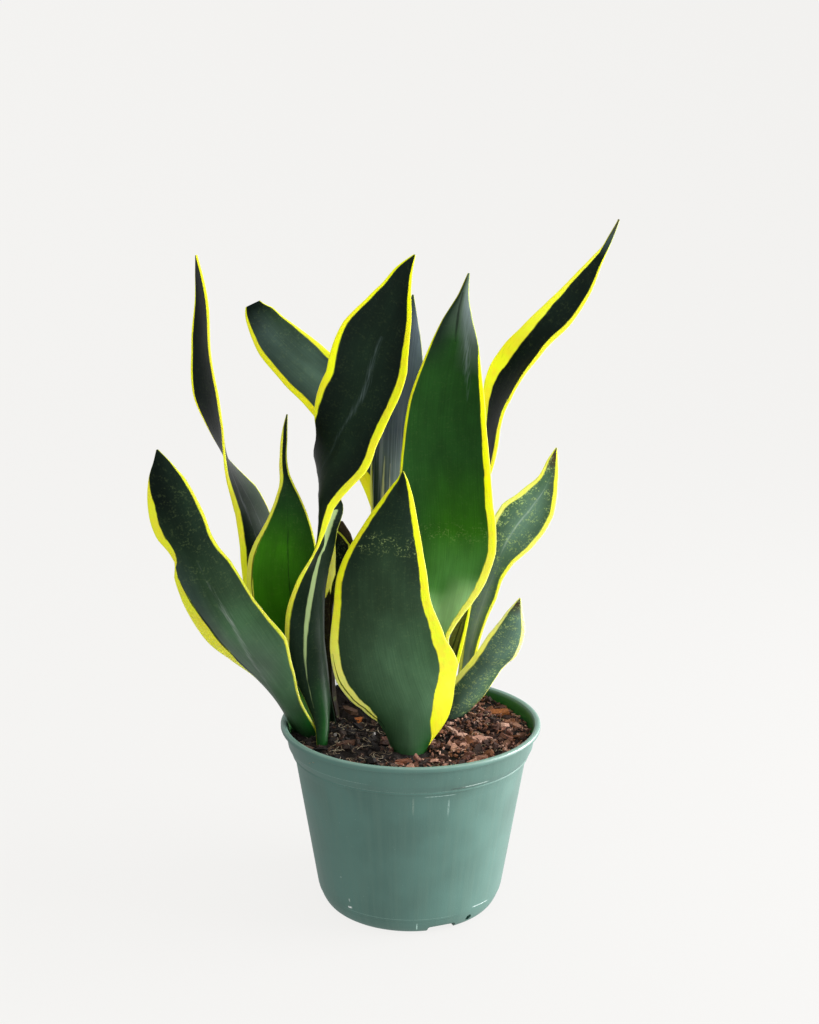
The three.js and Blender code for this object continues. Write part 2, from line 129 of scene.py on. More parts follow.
LEAVES["leaf_far_left"] = {
    "thick": 3.6, "wave": (1.5, 1.5, 0.5),
    "stations": [
        (-56, 3, 82, 12, -30, -4), (-63, -7, 104, 14, -30, -3), (-72, -15, 125, 17, -30, -4),
        (-82, -20, 144, 29, -22, -6), (-95, -22, 161, 38, -10, -8), (-108, -22, 179, 39, 0, -8),
        (-118, -24, 200, 34, 0, -7), (-126, -26, 222, 27, 0, -4), (-134, -27, 242, 27, 0, -3),
        (-139, -29, 262, 18, 0, -2), (-141, -30, 280, 1.2, 0, 0),
    ],
    "edges": [
        (111, 2.2, 0.6), (122, 2, -1), (133, 1, -1.4), (145, -0.2, 0.4), (150, -0.6, 3.2), (154, -1, 5),
        (158, -1.6, 4), (166, -2.4, 1.6), (180, -1.4, 1.4), (194, 0.2, 2.4), (208, 0, 3.2),
        (216, -2.8, 1.8), (224, -1.4, 1.4), (233, 0.8, 2.2), (243, 0.4, 2.2), (261, -0.6, 3),
        (273, -1, 1.8), (280, 0, 0),
    ],
    "margins": [
        (100, 0, 0.6), (130, 0.3, 0.8), (140, 1.8, 1), (152, 5.2, 1.6), (165, 9, 1.6), (180, 9, 1.4),
        (196, 6.5, 1.2), (206, 3.6, 1.4), (214, 1, 1.6), (220, 3.6, 1.7), (236, 5.4, 1.7),
        (250, 4.4, 1.6), (260, 1.6, 1.4), (266, 0, 1), (273, 0, 0.3), (280, 0, 0),
    ],
    # The darkest tones at the foot are painted shade; grey and lilac on the lower blade are painted
    # sheen.
    "tones": [
        (95, "deep deep night"), (112, "moss fern base"), (122, "fern sage moss"),
        (136, "grey sage sage"), (150, "grey grey sage"), (172, "lilac sage fern"),
        (195, "slate moss moss"), (225, "moss deep deep"), (250, "night night deep"), (280, "night"),
    ],
    "cream": [(110, 0.3), (160, 0.15), (200, 0.1)],
    "stripes": {
        # dark_a is a painted crease shadow along the inner edge of the folded left lobe.
        "dark_a": ("front", 0.8, [
            (136, -0.46, 0.1), (152, -0.52, 0.5), (180, -0.48, 0.7), (206, -0.76, 0.3),
        ]),
        # pale_a is a soft painted highlight along the keel.
        "pale_a": ("front", 5, [
            (112, -0.6, -2.4), (140, -0.23, -0.9), (158, 0, -0.4), (177, 0.2, -0.4), (196, 0.17, -1.2),
            (226, 0.13, -3.5),
        ], (140, 150, 142)),
    },
    "bands": [(100, 0.02), (190, 0.05), (215, 0.1), (265, 0.08), (280, 0)],
}
LEAVES["leaf_left_tall"] = {
    "thick": 3.6, "wave": (0.8, 2, 0),
    "stations": [
        (-42, 35, 80, 14, -140, 6), (-47, 34, 104, 16, -140, 7), (-63, 32, 140, 26, -138, 7),
        (-79, 30, 172, 33, -136, 6), (-86, 27, 204, 34, -131, 5), (-92, 22, 236, 28, -112, 4),
        (-106, 13, 268, 26, -80, 2), (-116, 6, 302, 30, -56, 3), (-118, 3, 332, 26, -62, 3),
        (-118, 0, 360, 16, -62, 1), (-121, 0, 385, 1.2, -60, 0),
    ],
    "edges": [
        (212, 0, 0), (225, 4, 0), (240, 8, 0), (252, 7, 2), (262, 6, 5), (280, 3.4, 4), (300, 1.8, 2.4),
        (330, 1, 1.4), (375, 0.7, 1.4), (385, 0, 0),
    ],
    "shift": [
        (80, 0), (108, -0.5), (116, -2), (130, -5), (150, -5), (190, -2), (215, -1.4), (232, -3.2),
        (245, -3.9), (262, -3.4), (275, -2), (290, 0), (310, 0.7), (345, 0.2), (375, -0.2), (385, 0),
    ],
    "margins": [
        (150, -1, -1), (172, 2, 3), (236, 2.2, 3.2), (302, 2, 3.4), (350, 1.2, 2.6), (385, 0.3, 0.3),
    ],
    "tones": [(100, "deep"), (230, "deep deep night"), (280, "night")],
    "back": [(100, "deep"), (230, "moss deep night"), (280, "deep night night")],
    "cream": [(150, 0.2), (260, 0.05)],
    "stripes": {
        # pale_a is a soft painted sheen on the back.
        "pale_a": ("back", 3, [
            (215, 0.3, -1), (245, 0.5, 0.2), (262, 0.4, 0), (285, 0.2, -1),
        ], (84, 90, 92)),
        "pale_b": ("back", 1.6, [(215, -0.1, -0.6), (245, 0, 0), (270, 0, -0.6)], (90, 98, 98)),
    },
    "bands": [(0, 0.04)],
}
LEAVES["leaf_left_small"] = {
    "thick": 3.4, "wave": (0.8, 2, 0.5),
    "stations": [
        (-52, 19, 80, 15, 0, 6), (-55, 18, 104, 17, 0, 7), (-64, 17, 132, 26, 0, 6),
        (-74, 16, 161, 37, 0, 5), (-78, 14, 187, 42, 0, 4), (-76, 11, 211, 39, 0, 3),
        (-73, 8, 232, 25, 0, 2), (-73, 6, 251, 9, 0, 2), (-75, 5, 267, 5, 0, 1), (-74, 4, 282, 4, 0, 0.5),
        (-72, 4, 295, 1.2, 0, 0),
    ],
    "edges": [
        (187, -1.7, 1), (208, -0.4, 1.4), (222, -1.2, 1.7), (234, -0.8, 1.1), (248, 0.4, 1.8),
        (259, -0.5, 0.3), (270, -0.9, 0.4), (292, -0.3, 0),
    ],
    "margins": [
        (145, -1, -1), (161, 3, 1), (187, 3.4, 1), (211, 3, 1), (232, 1.6, 0.9), (251, 1.3, 0.6),
        (262, 1.6, 0.3), (280, 1.2, 0), (288, 0.2, 0), (295, 0, 0),
    ],
    "tones": [
        (120, "vivid vivid deep"), (170, "lush lush vivid"), (215, "lush lush vivid"), (240, "leafy"),
        (262, "moss deep night"), (290, "night"),
    ],
    "cream": [(150, 0.3), (250, 0.2)],
    "stripes": {
        "dark_a": ("front", 0.5, [(165, -0.87, 0.2), (200, -0.86, 0.4), (225, -0.85, 0.2)]),
        "dark_b": ("front", 1.4, [
            (150, 0.3, -0.3), (188, 0.27, 0.2), (220, 0.1, 0.2), (245, -0.03, -0.4),
        ]),
    },
    "bands": [(0, 0.06)],
}
LEAVES["leaf_centre_left"] = {
    "thick": 3.6, "wave": (0.8, 2, 0.2),
    "stations": [
        (-50, -18, 80, 7, -140, 2), (-51, -18, 103, 7, -140, 2), (-51, -11, 115, 10, -140, 4),
        (-53, -4, 128, 19, -140, 5), (-55, -2, 143, 28, -140, 7), (-56, -2, 160, 34, -138, 8),
        (-56, -1, 180, 36, -135, 6), (-55, -3, 200, 36, -125, 1), (-52, -6, 220, 36, -113, -4),
        (-52, -9, 242, 37, -97, -9), (-45, -10, 264, 42, -56, -4), (-35, -10, 288, 43, -22, 2),
        (-29, -9, 312, 47, -5, 4), (-24, -8, 334, 43, 0, 4), (-15, -6, 356, 30, 0, 3),
        (-6, -4, 375, 13, 0, 1), (1, -4, 386, 1.2, 0, 0),
    ],
    "edges": [
        (128, 0, 0), (143, -2, 0), (160, -5, 0), (180, -6.5, 0), (200, -7, 0), (216, -9.5, 0),
        (228, -11, 0), (238, -5, 0), (250, 6, 0), (257, 9, 0.5), (265, 6.5, 0), (275, 2, 0),
        (286, 1.4, -2.4), (296, 1, -2.4), (304, 0, -2), (318, -2.8, 0), (326, -2, 1), (342, -0.6, 1),
        (356, -2.4, 0.6), (367, -2.6, -0.4), (376, -0.6, -0.4), (386, 0, 0),
    ],
    "shift": [
        (215, 0), (225, 0.3), (236, 0.8), (243, 0), (250, -2.4), (258, -3.2), (265, -1.8), (272, 0.2),
        (280, 0.6), (286, 0),
    ],
    "margins": [
        (140, 0, 0), (150, 0, 0.8), (165, 0, 2), (180, 0, 2.4), (200, 0, 2.8), (220, 0, 3.4),
        (242, 0, 4.2), (275, 0, 4.4), (283, 0, 4.6), (290, 1.6, 4.6), (312, 4, 4.4), (326, 3.4, 4.2),
        (340, 2.2, 3.4), (356, 1.6, 2.6), (375, 1, 1.4), (386, 0.2, 0.2),
    ],
    "tones": [
        (110, "base"), (200, "deep"), (262, "night deep night"), (320, "night deep night"),
        (386, "night"),
    ],
    "back": [(96, "base"), (112, "deep base deep"), (140, "deep"), (386, "night")],
    "cream": [(230, 0.1), (330, 0)],
    "stripes": {
        "pale_a": ("back", 0.9, [
            (120, 0.7, -0.2), (143, 0.53, 0.1), (156, 0.46, 0.7), (181, 0.34, 1.5), (197, 0.26, 2),
            (215, 0.2, 2), (224, -0.33, 2), (241, -0.8, 1.2),
        ], (160, 182, 124)),
        # pale_b is a soft painted highlight down the middle of the front.
        "pale_b": ("front", 6, [
            (240, -0.2, -2.4), (280, -0.3, -1.6), (310, 0.1, -0.2), (345, 0.2, -1.4),
        ], (78, 92, 90)),
    },
    "bands": [(0, 0.03)],
}
LEAVES["leaf_back_left"] = {
    "thick": 3.4, "wave": (0.8, 2, 0),
    "stations": [
        (4, 56, 80, 15, 8, -5), (4, 55, 104, 17, 8, -6), (3, 52, 140, 22, 4, -5), (2, 49, 175, 26, 0, -4),
        (-4, 47, 212, 28, 0, -4), (-14, 46, 248, 30, 0, -4), (-31, 44, 282, 33, 0, -3),
        (-50, 43, 305, 33, 0, -3), (-65, 41, 319, 33, 0, -3), (-80, 38, 333, 28, 0, -2),
        (-91, 37, 347, 16, 0, -1), (-95, 36, 355, 6, 0, 0),
    ],
    "edges": [
        (280, 1.6, 0), (300, 2.4, -0.5), (315, 1.8, -0.7), (330, 0, 0), (340, -0.4, 1), (348, 0, 3),
        (355, 0.6, 3),
    ],
    "margins": [
        (104, 1.5, 1), (200, 4, 2), (225, 9, 2), (250, 9, 3), (268, 5, 4), (282, 4.6, 4.2), (305, 4.6, 4),
        (319, 4.2, 2.6), (333, 3.6, 1.2), (347, 2, 0.6), (355, 0.6, 0.2),
    ],
    # The mist down the middle is painted sheen.
    "tones": [
        (100, "moss sage moss"), (250, "slate mist slate"), (305, "slate mist slate"),
        (340, "slate slate moss"), (353, "night"),
    ],
    "cream": [(150, 0.4), (260, 0.1)],
    "bands": [(0, 0.1)],
}
LEAVES["leaf_back_centre"] = {
    "thick": 3.4, "wave": (0.8, 2, 0),
    "stations": [
        (-11, 37, 80, 14, 0, -6), (-11, 36, 104, 16, 0, -6), (-10, 35, 140, 22, 0, -5),
        (-9, 34, 175, 28, 0, -4), (-8, 33, 210, 32, 0, -4), (-8, 33, 244, 34, 0, -3),
        (-7, 32, 278, 34, 0, -3), (-5, 30, 308, 27, 0, -2), (-2, 28, 336, 16, 0, -1),
        (0, 25, 362, 1.2, 0, 0),
    ],
    "edges": [(300, 0, 0), (318, 0, -1.2), (345, 0, -1), (362, 0, 0)],
    "margins": [(104, 1.5, 1.5), (210, 2.2, 1), (278, 0.8, 0.3), (336, 0.4, 0.2), (362, 0, 0)],
    # Silver and steel are painted sheen, a bluish reflection over much of this leaf.
    "tones": [
        (100, "moss grey grey"), (225, "deep silver silver"), (255, "moss silver steel"),
        (280, "steel steel slate"), (305, "slate steel slate"), (345, "steel"), (362, "slate moss night"),
    ],
    "cream": [(150, 0.7), (300, 0.5)],
    "stripes": {
        "pale_a": ("front", 0.8, [(200, -0.5, 0.5), (240, -0.55, 0.9), (266, -0.5, 0)], (226, 228, 160)),
        "pale_b": ("front", 0.6, [(200, -0.28, 0.3), (235, -0.32, 0.6), (262, -0.3, 0)], (226, 228, 190)),
    },
    "bands": [(0, 0)],
    # The streaks are painted sheen in silver streaks.
    "streaks": [(215, 0.5), (240, 0.55), (265, 0.4), (285, 0.08), (300, 0)],
}
LEAVES["leaf_centre_right"] = {
    "thick": 4, "wave": (1.2, 2, 0.6),
    "stations": [
        (9, 30, 80, 15, 0, 5), (10, 29, 104, 15, 0, 5), (12, 27, 130, 15, 0, 6), (14, 22, 156, 18, 0, 6),
        (17, 18, 178, 31, 0, 6), (21, 14, 202, 48, 0, 6), (22, 12, 228, 57, 0, 5), (20, 9, 256, 55, 0, 5),
        (19, 6, 284, 49, 0, 4), (21, 2, 313, 39, 0, 4), (25, -2, 341, 23, 0, 3), (28, -4, 361, 9, 0, 1),
        (31, -6, 376, 1.2, 0, 0),
    ],
    "edges": [
        (152, 0, 1.4), (160, 0, -1.6), (170, 0, -1.4), (183, 0, 0), (206, 0, 0.9), (214, 0, 1.1),
        (226, 0, -0.8), (239, 0, -2.3), (255, 0, -1.5), (280, -0.6, -0.4), (304, 0.6, 0), (322, 0.2, 0),
        (338, 1, 0.3), (350, 1, -0.8), (364, -0.4, -0.8), (376, 0, 0),
    ],
    "margins": [
        (104, 1, 1), (156, 0.8, 1.4), (170, 0.8, 2), (185, 0.8, 3), (202, 0.9, 4.2), (228, 1, 4.6),
        (256, 1.1, 3.8), (284, 1.2, 3), (313, 1.2, 2.2), (328, 0.8, 1.2), (336, 0.5, 0), (345, 0.2, 0),
        (352, 0, 0),
    ],
    # Grey and silver at the tip are painted sheen.
    "tones": [
        (170, "pale"), (188, "bright bright pale"), (200, "vivid bright bright"),
        (225, "leafy vivid vivid"), (270, "leafy"), (320, "leafy"), (338, "deep leafy grey"),
        (358, "deep grey silver"), (376, "night grey grey"),
    ],
    "cream": [(150, 0.9), (180, 0.7), (215, 0.15), (250, 0)],
    "stripes": {
        # pale_a is a soft painted sheen down the upper blade.
        "pale_a": ("front", 7, [
            (290, 0.6, -5.5), (312, 0.55, -2), (335, 0.5, 0), (355, 0.45, -1), (370, 0.4, -3),
        ], (128, 146, 142)),
        "dark_a": ("front", 1.2, [(335, 0, 0), (350, -0.15, 0.7), (366, -0.3, 0.3)]),
    },
    "bands": [(170, 0.02), (216, 0.03), (221, 0.25), (226, 0.25), (231, 0.03), (300, 0.02)],
}
LEAVES["leaf_right_tall"] = {
    "thick": 3.6, "wave": (0.8, 2, 0),
    "stations": [
        (17, 52, 80, 15, -120, 6), (21, 50, 104, 16, -120, 6), (30, 47, 150, 22, -116, 6),
        (37, 44, 190, 26, -108, 5), (42, 41, 230, 28, -96, 3), (47, 39, 268, 29, -78, 1),
        (52, 37, 298, 30, -68, 3), (62, 37, 319, 29, -48, 6), (74, 37, 337, 22, -16, 4),
        (87, 38, 351, 19, 0, 2), (98, 39, 366, 14, 0, 1), (108, 41, 384, 6, 0, 1),
        (120, 42, 405, 1.2, 0, 0),
    ],
    "edges": [
        (262, 0, 0), (272, 0.5, -1), (284, 1.8, -2), (294, 3.4, -0.4), (304, 4.4, 2.4), (312, 3, 2.2),
        (320, 0, 0.4), (334, -0.6, -1.7), (352, 1, -0.6), (372, 0.3, 0.8), (384, -1, 1.4), (392, -3, 1.4),
        (400, -1.4, 0.8), (405, 0, 0),
    ],
    "margins": [
        (104, 1.5, 1.5), (230, 5, 3), (268, 6, 4), (284, 7, 3.4), (298, 8.5, 3), (317, 8.5, 3),
        (337, 5.4, 2.4), (351, 3.4, 2.2), (366, 2, 1.8), (380, 1.4, 0.8), (388, 0.8, 0.2), (394, 0, 0),
    ],
    "tones": [(100, "deep"), (270, "night"), (384, "night"), (394, "slate"), (405, "umber")],
    "back": [(100, "deep"), (270, "mist"), (320, "mist"), (394, "umber")],
    "cream": [(200, 0.2), (300, 0.1)],
    "bands": [(0, 0.04)],
}
LEAVES["leaf_right_leaning"] = {
    "thick": 3.4, "wave": (0.8, 2, 0.4),
    "stations": [
        (33, 44, 82, 11, -10, 3), (34, 43, 106, 11, -12, 3), (36, 41, 134, 10, -24, 3),
        (42, 41, 163, 14, -30, 4), (52, 42, 193, 21, -20, 5), (62, 42, 216, 27, -4, 4),
        (74, 42, 234, 24, 0, 3), (83, 42, 250, 13, 0, 2), (87, 40, 270, 1.2, 0, 0),
    ],
    "edges": [
        (178, 0, 0), (190, 0, -3), (202, 0, -3), (215, 1.6, 0.6), (226, 3.4, 1.8), (236, 0.8, 1.6),
        (250, 0.5, -1), (262, 1.4, -0.6), (270, 0, 0),
    ],
    "margins": [
        (106, 1, 0.8), (163, 1.4, 1), (193, 2, 1.6), (216, 3, 2.4), (240, 2.8, 2.6), (256, 1.6, 1.6),
        (270, 0.2, 0.2),
    ],
    "tones": [
        (100, "silver silver mist"), (150, "mist silver mist"), (178, "mist silver mist"),
        (200, "moss mist mist"), (235, "sage mist sage"), (254, "sage sage grey"), (262, "umber"),
    ],
    "cream": [(225, 0.5), (250, 0.3)],
    "stripes": {
        "pale_a": ("front", 1.5, [
            (186, -0.1, -0.8), (212, -0.1, 0.3), (240, 0, 0.1), (256, 0, -0.8),
        ], (158, 178, 166)),
    },
    "bands": [(100, 0.3), (165, 0.4), (190, 1.2), (215, 1.5), (255, 1.5), (270, 1)],
}
LEAVES["leaf_right_low"] = {
    "thick": 3.2, "wave": (0.8, 1.5, 0.4),
    "stations": [
        (17, 17, 80, 16, 6, -5), (22, 18, 101, 19, 6, -6), (33, 13, 121, 21, 6, -6),
        (44, 8, 139, 18, 4, -5), (53, 0, 153, 18, 0, -4), (60, -5, 169, 12, 0, -2),
        (63, -10, 190, 1.2, 0, 0),
    ],
    "edges": [
        (104, 0, 0), (121, 0, 2), (139, 0.5, 2.2), (150, 2, 2), (160, 4, 1.5), (170, 4.6, 1),
        (180, 3.4, 0), (190, 0, 0),
    ],
    "margins": [
        (104, 1, 0.6), (121, 2.4, 0.8), (139, 2.6, 1.4), (153, 2.4, 2.6), (169, 2.2, 2.6),
        (182, 1.2, 1.2), (190, 0.2, 0.2),
    ],
    "tones": [
        (95, "deep moss deep"), (121, "sage mist sage"), (150, "mist mist sage"), (178, "sage mist mist"),
        (186, "umber"),
    ],
    "cream": [(110, 0.7), (150, 0.8)],
    "bands": [(95, 2), (190, 1.6)],
}
LEAVES["leaf_stub"] = {
    "thick": 3, "wave": (0.4, 1.5, 0),
    "stations": [
        (-34, 24, 80, 11, -20, 4), (-36, 23, 104, 12, -20, 5), (-39, 23, 140, 13, -20, 5),
        (-42, 23, 175, 13, -20, 5), (-43, 22, 198, 13, -20, 4), (-43, 21, 213, 11, -20, 3),
        (-44, 20, 229, 5, -20, 1),
    ],
    "edges": [
        (104, 0, -4), (120, 0, -5), (150, 0, -4.5), (175, 0, -4), (184, 0, -2), (196, 0, 0), (208, 0, 4),
        (215, 0, 7.5), (222, 0, 6.4), (229, 0, 2.8),
    ],
    "shift": [
        (80, -8), (104, -9), (120, -10), (135, -9.5), (150, -8), (175, -6.5), (190, -5.5), (205, -2),
        (229, -1.5),
    ],
    "margins": [
        (170, -1, -1), (176, 0, -1), (184, 5, -1), (196, 9, -1), (208, 9, -1), (216, 6, -1), (223, 1, -1),
        (229, -1, -1),
    ],
    "tones": [
        (100, "umber umber bark"), (172, "bark umber bark"), (190, "umber night night"), (214, "night"),
        (222, "night night umber"), (229, "umber"),
    ],
    "cream": [(100, 1)],
    "stripes": {
        "pale_a": ("front", 0.5, [
            (207, 0.97, 0.5), (215, 0.75, 0.9), (221, 0.35, 0.9), (227, -0.5, 0.9),
        ], (220, 226, 60)),
    },
    "bands": [(0, 0.2)],
}
LEAVES["leaf_folded"] = {
    "thick": 3, "wave": (0.4, 1.5, 0),
    "stations": [
        (21, 40, 80, 10, -30, 3), (20, 38, 104, 12, -30, 4), (21, 35, 122, 14, -30, 4),
        (24, 33, 137, 15, -30, 4), (28, 32, 152, 13, -30, 3), (33, 31, 170, 8, -30, 2),
        (36, 30, 184, 1.2, -30, 0),
    ],
    "margins": [(104, 1, 1.4), (150, 1, 2.2), (184, 0.3, 0.5)],
    # Olive and the dark stripes are painted shade on the inner face of the folded blade.
    "tones": [(100, "umber"), (130, "umber olive umber"), (160, "olive")],
    "cream": [(100, 0.1)],
    "stripes": {
        "dark_a": ("front", 0.8, [(108, -0.1, 0.4), (140, -0.1, 1), (165, 0, 0.3)]),
        "dark_b": ("front", 0.6, [(108, 0.45, 0.3), (140, 0.5, 0.7), (165, 0.5, 0.2)]),
    },
    "bands": [(0, 0.2)],
}

# ---- Pot and mix ----

POT_HEIGHT = 112.3
LIP_RADIUS = 77.5
BAND_TOP_RADIUS = 74.6
BAND_FOOT = (73.2, 99)
RIDGE = (71, 94.4)
WALL_TOP = (68.6, 88)
WALL_FOOT = (56.2, 12)
FOOT_RADIUS = 49.2
FOOT_RING_WIDTH = 7
FLOOR_EDGE = 4.7  # of the floor inside, out from the foot's radius
CHANNEL_HEIGHT = 4
PAD_RADIUS = 19
POT_WALL = 1.4
# How the corners of the section are rounded: steps outwards and up, from the foot's radius with a
# fine step near its top, the wall's top, the ridge, the foot of the band, its top and the lip.
FOOT_ROUND = [
    (0, 0), (0.8, 0.15), (1.6, 0.7), (2.4, 1.4), (3.2, 2.4), (3.9, 3.6), (4.6, 5.0), (5.2, 6.5),
    (5.7, 7.8), (5.9, 8.6), (6.25, 8.9), (6.55, 10), (6.8, 11), (7.0, 12),
]
WALL_ROUND = [(0, 0), (0.3, 1.2)]
RIDGE_ROUND = [(-0.9, -1.1), (-0.1, -0.6), (0, 0), (-0.1, 0.5)]
BAND_FOOT_ROUND = [(-1.2, -2.2), (-0.4, -0.5), (0, 0.3)]
BAND_TOP_ROUND = [(0, -4.4), (0.3, -3.7)]
LIP_ROUND = [
    (-1.0, -3.4), (-0.3, -3.0), (0, -2.3), (0, -1.1), (-0.3, -0.4), (-1.0, 0), (-2.2, 0), (-3.2, -0.5),
]
NOTCH = {"count": 3, "turn": 21, "width": 17, "height": 4.2, "depth": 13, "corner": 1.2}
DRAIN_HOLE = {"radius": 2.0, "turn": 19, "height": 4.6, "depth": 10, "sides": 18}
POT_SIDES = 160
CUTTER_RADIUS = FOOT_RADIUS + 10
CREASE_ANGLE = 32
# Radius halfway through the wall against height.
WALL_MIDDLE = [(5, 53.1), (12, 55.4), (88, 67.8), (99, 72.4), (112, 74.2)]

# Colours of the pot, the painted shade of its inside, the painted highlight along the top of its lip,
# its flow marks and its dust.
POT_DARK = (68, 104, 94)
POT_LIGHT = (77, 116, 106)
POT_FLOW = (84, 116, 104)
POT_DUST = (140, 168, 160)
# Painted shade for the inside of the pot, a darker, more saturated green.
POT_INSIDE_SHADE = (34, 96, 34)
# A painted highlight along the top of the lip: its colour, and the share of it.
POT_LIP_HIGHLIGHT = (118, 148, 136)
LIP_HIGHLIGHT_SHARE = 0.6
# Marks on the pot: degrees to the right of the front, height, half length in degrees,
# half thickness, slope, strength and colour.
SCUFFS = [
    (30.5, 96.6, 8, 0.35, 0.02, 0.9, (206, 226, 218)),
    (22, 96.3, 4, 0.5, 0.02, 0.9, (44, 56, 48)),
    (14, 92.0, 8, 0.3, 0.0, 0.8, (164, 190, 182)),
    (1.4, 86, 0.5, 7, 0.0, 0.5, (128, 150, 136)),
    (18.4, 84, 0.5, 7, 0.0, 0.5, (150, 176, 168)),
    (-38.2, 12.2, 1.7, 0.8, 0.1, 1.0, (236, 242, 238)),
    (-38.0, 17, 0.5, 1.3, 0.1, 0.9, (190, 206, 198)),
    (-42.5, 31, 0.6, 0.5, 0.1, 0.9, (150, 176, 168)),
    (48, 11.4, 8, 0.4, -0.07, 0.9, (206, 222, 218)),
    (4.5, 4.8, 0.45, 3.2, 0.0, 1.0, (176, 212, 200)),
    (-8, 10.4, 40, 0.22, 0.0, 0.8, (116, 150, 140)),
    (-42, 99.4, 26, 0.22, 0.0, 0.8, (124, 152, 144)),
    (-8, 95.2, 34, 0.22, 0.0, 0.8, (116, 148, 138)),
]

# The mix's level in the middle, its slope towards the back, and the height of its waves.
SOIL_TOP = 103.5
SOIL_RISE = 0.05
SOIL_ROLL = 0.9
SOIL_RADIUS = 71.4
SOIL_AT_WALL = 111.5
SOIL_GAP = 0.3  # between the mix and the pot's wall
SOIL_RINGS = 46
SOIL_SIDES = 150
# Heaps in the mix: x, y, height and reach.
HEAPS = [(-46, 50, 12.5, 34), (-2, -60, 2.5, 16), (34, 6, 2.5, 26)]
# Chips placed one by one: x, y, length, width, turn in degrees and colour.
PLACED_CHIPS = [
    (-4, -43, 12, 6, 20, (112, 66, 44)), (-9, -50, 14, 5, -15, (126, 74, 52)),
    (2, -49, 10, 4, 60, (96, 58, 42)), (11, -58, 11, 5, 5, (104, 74, 56)),
    (17, -61, 9, 4, -20, (84, 56, 44)), (25, -54, 12, 6, 15, (116, 78, 60)),
    (29, -16, 10, 6, 40, (98, 62, 46)), (39, -5, 11, 6, -30, (120, 84, 62)),
    (40, -39, 12, 6, 10, (132, 92, 74)), (56, -19, 11, 6, 70, (110, 76, 58)),
    (55, 30, 16, 9, -10, (152, 92, 50)), (62, 14, 15, 8, 25, (128, 86, 62)),
    (66, -7, 9, 5, 50, (106, 72, 56)), (58, 38, 12, 6, 70, (118, 82, 60)),
    (-38, -20, 12, 6, 15, (92, 64, 50)), (-37, 25, 13, 7, -25, (88, 66, 52)),
    (-32, 16, 9, 5, 35, (168, 96, 44)), (-30, 30, 6, 4, 0, (200, 192, 204)),
    (-47, -25, 10, 6, 50, (80, 60, 48)), (-59, -25, 12, 6, -5, (84, 62, 50)),
]
PLACED_CHIP = {"height": 2.4, "corners": 9, "sink": -0.6, "tilt": 0.15}
# Loose chips and shreds. A higher power makes more of them short; widths are shares of the length;
# room is what they need, plain and as a share of the length. A free place is taken with the usual
# chance to the right of the line, and with the chance "left" to the left of it.
STREWN = [
    {
        "count": 380, "length": (4, 13), "power": 2, "width": (0.35, 0.65), "height": (1.2, 3.0),
        "corners": 8, "sink": (-1.2, 0.3), "tilt": 0.5, "room": (0, 1), "line": 0, "left": 0.5,
    },
    {
        "count": 2100, "length": (1.4, 4.6), "power": 1, "width": (0.25, 0.6), "height": (0.6, 1.3),
        "corners": 5, "sink": (-1.4, -0.2), "tilt": 0.8, "room": (1, 0), "line": -10, "left": 0.4,
    },
]
USUAL_CHANCE = 0.9
# Brown bark lies in patches, with more of it to the right. A piece is brown where the sum of
# its X over the drift, the patch and chance is above this least sum.
BARK_DRIFT = 22
PATCH_SIZE = 13
PATCH_WEIGHT = 1.3
CHANCE_WEIGHT = 0.5
LEAST_BROWN = -0.1
# Root fibres, fine upright ones on the heap at the back left, and pale specks of grit.
FIBRES = {"count": 260, "length": (5, 13), "room": 6, "right": 0.2, "sink": -1.6, "tilt": 0.2}
HAIRS = {"count": 16, "length": (4, 10), "x": (-56, -40), "y": (38, 50), "sink": 0.5, "tilt": 0.5}
SPECKS = {"count": 8, "size": (2.2, 1.8, 1.4, 6), "room": 2, "sink": -1.2, "tilt": 0.5}
FIBRE_RINGS = 9
FIBRE_RADIUS = 0.2
ANY_TURN = (0, 6.3)  # radians, for the draws
MIX_SEED = 23
# The mix under the loose pieces: its dark colour, made darker as painted shade in the gaps between them.
SOIL_TINT_AND_GAP_SHADE = (27, 21, 18)
PORE_TINT = (22, 15, 12)
SPECK_TINT = (206, 200, 196)
BARK_TINTS = [
    (96, 62, 50), (136, 94, 78), (84, 58, 48), (170, 126, 106), (56, 41, 36), (122, 78, 52),
    (190, 150, 130), (68, 47, 40),
]
DARK_TINTS = [(34, 29, 27), (54, 42, 36), (26, 23, 22), (78, 58, 48), (42, 35, 32)]
FIBRE_TINTS = [(166, 148, 120), (130, 114, 92), (190, 176, 150)]

# ---- Stage, light and camera ----

# Rings of the level floor, then the radius of the curve that takes it up to the top of the wall.
FLOOR = {"level": -0.5, "rings": (1, 700, 2200), "curve": 1500, "top": 3600, "sides": 96, "steps": 16}
FLOOR_COLOUR = (243, 242, 240)
FLOOR_GLOW = 0.94
# The surrounding light's strength grows from dim to bright in one direction.
SKY = {"towards": (0.86, 0.0, 0.5), "dim": 0.46, "bright": 1.5}
# Places and sizes in metres, power in watts. The sheen light gives gloss alone.
LAMPS = {
    "key_light": {
        "place": (1.1, -0.05, 0.5), "aim": (0, 0, 0.12), "size": 0.8, "power": 23.5, "diffuse": True,
    },
    "sheen_light": {
        "place": (0.9, 0.25, 0.22), "aim": (0, 0, 0.06), "size": 0.44, "power": 24, "diffuse": False,
    },
}
# The camera's place in metres and its turns in degrees; the lens and the sensor in millimetres.
CAMERA = {"place": (0.0, -0.815, 0.418), "pitch": 12.4, "roll": 0.28, "yaw": -0.09}
LENS = 50.6
SENSOR_WIDTH = 36

# ---- Small maths ----


def linear(colour):
    """An sRGB colour as the four linear numbers that a shader takes."""
    parts = [c / 255 for c in colour]
    return tuple(p / 12.92 if p < 0.04045 else ((p + 0.055) / 1.055) ** 2.4 for p in parts) + (1.0,)


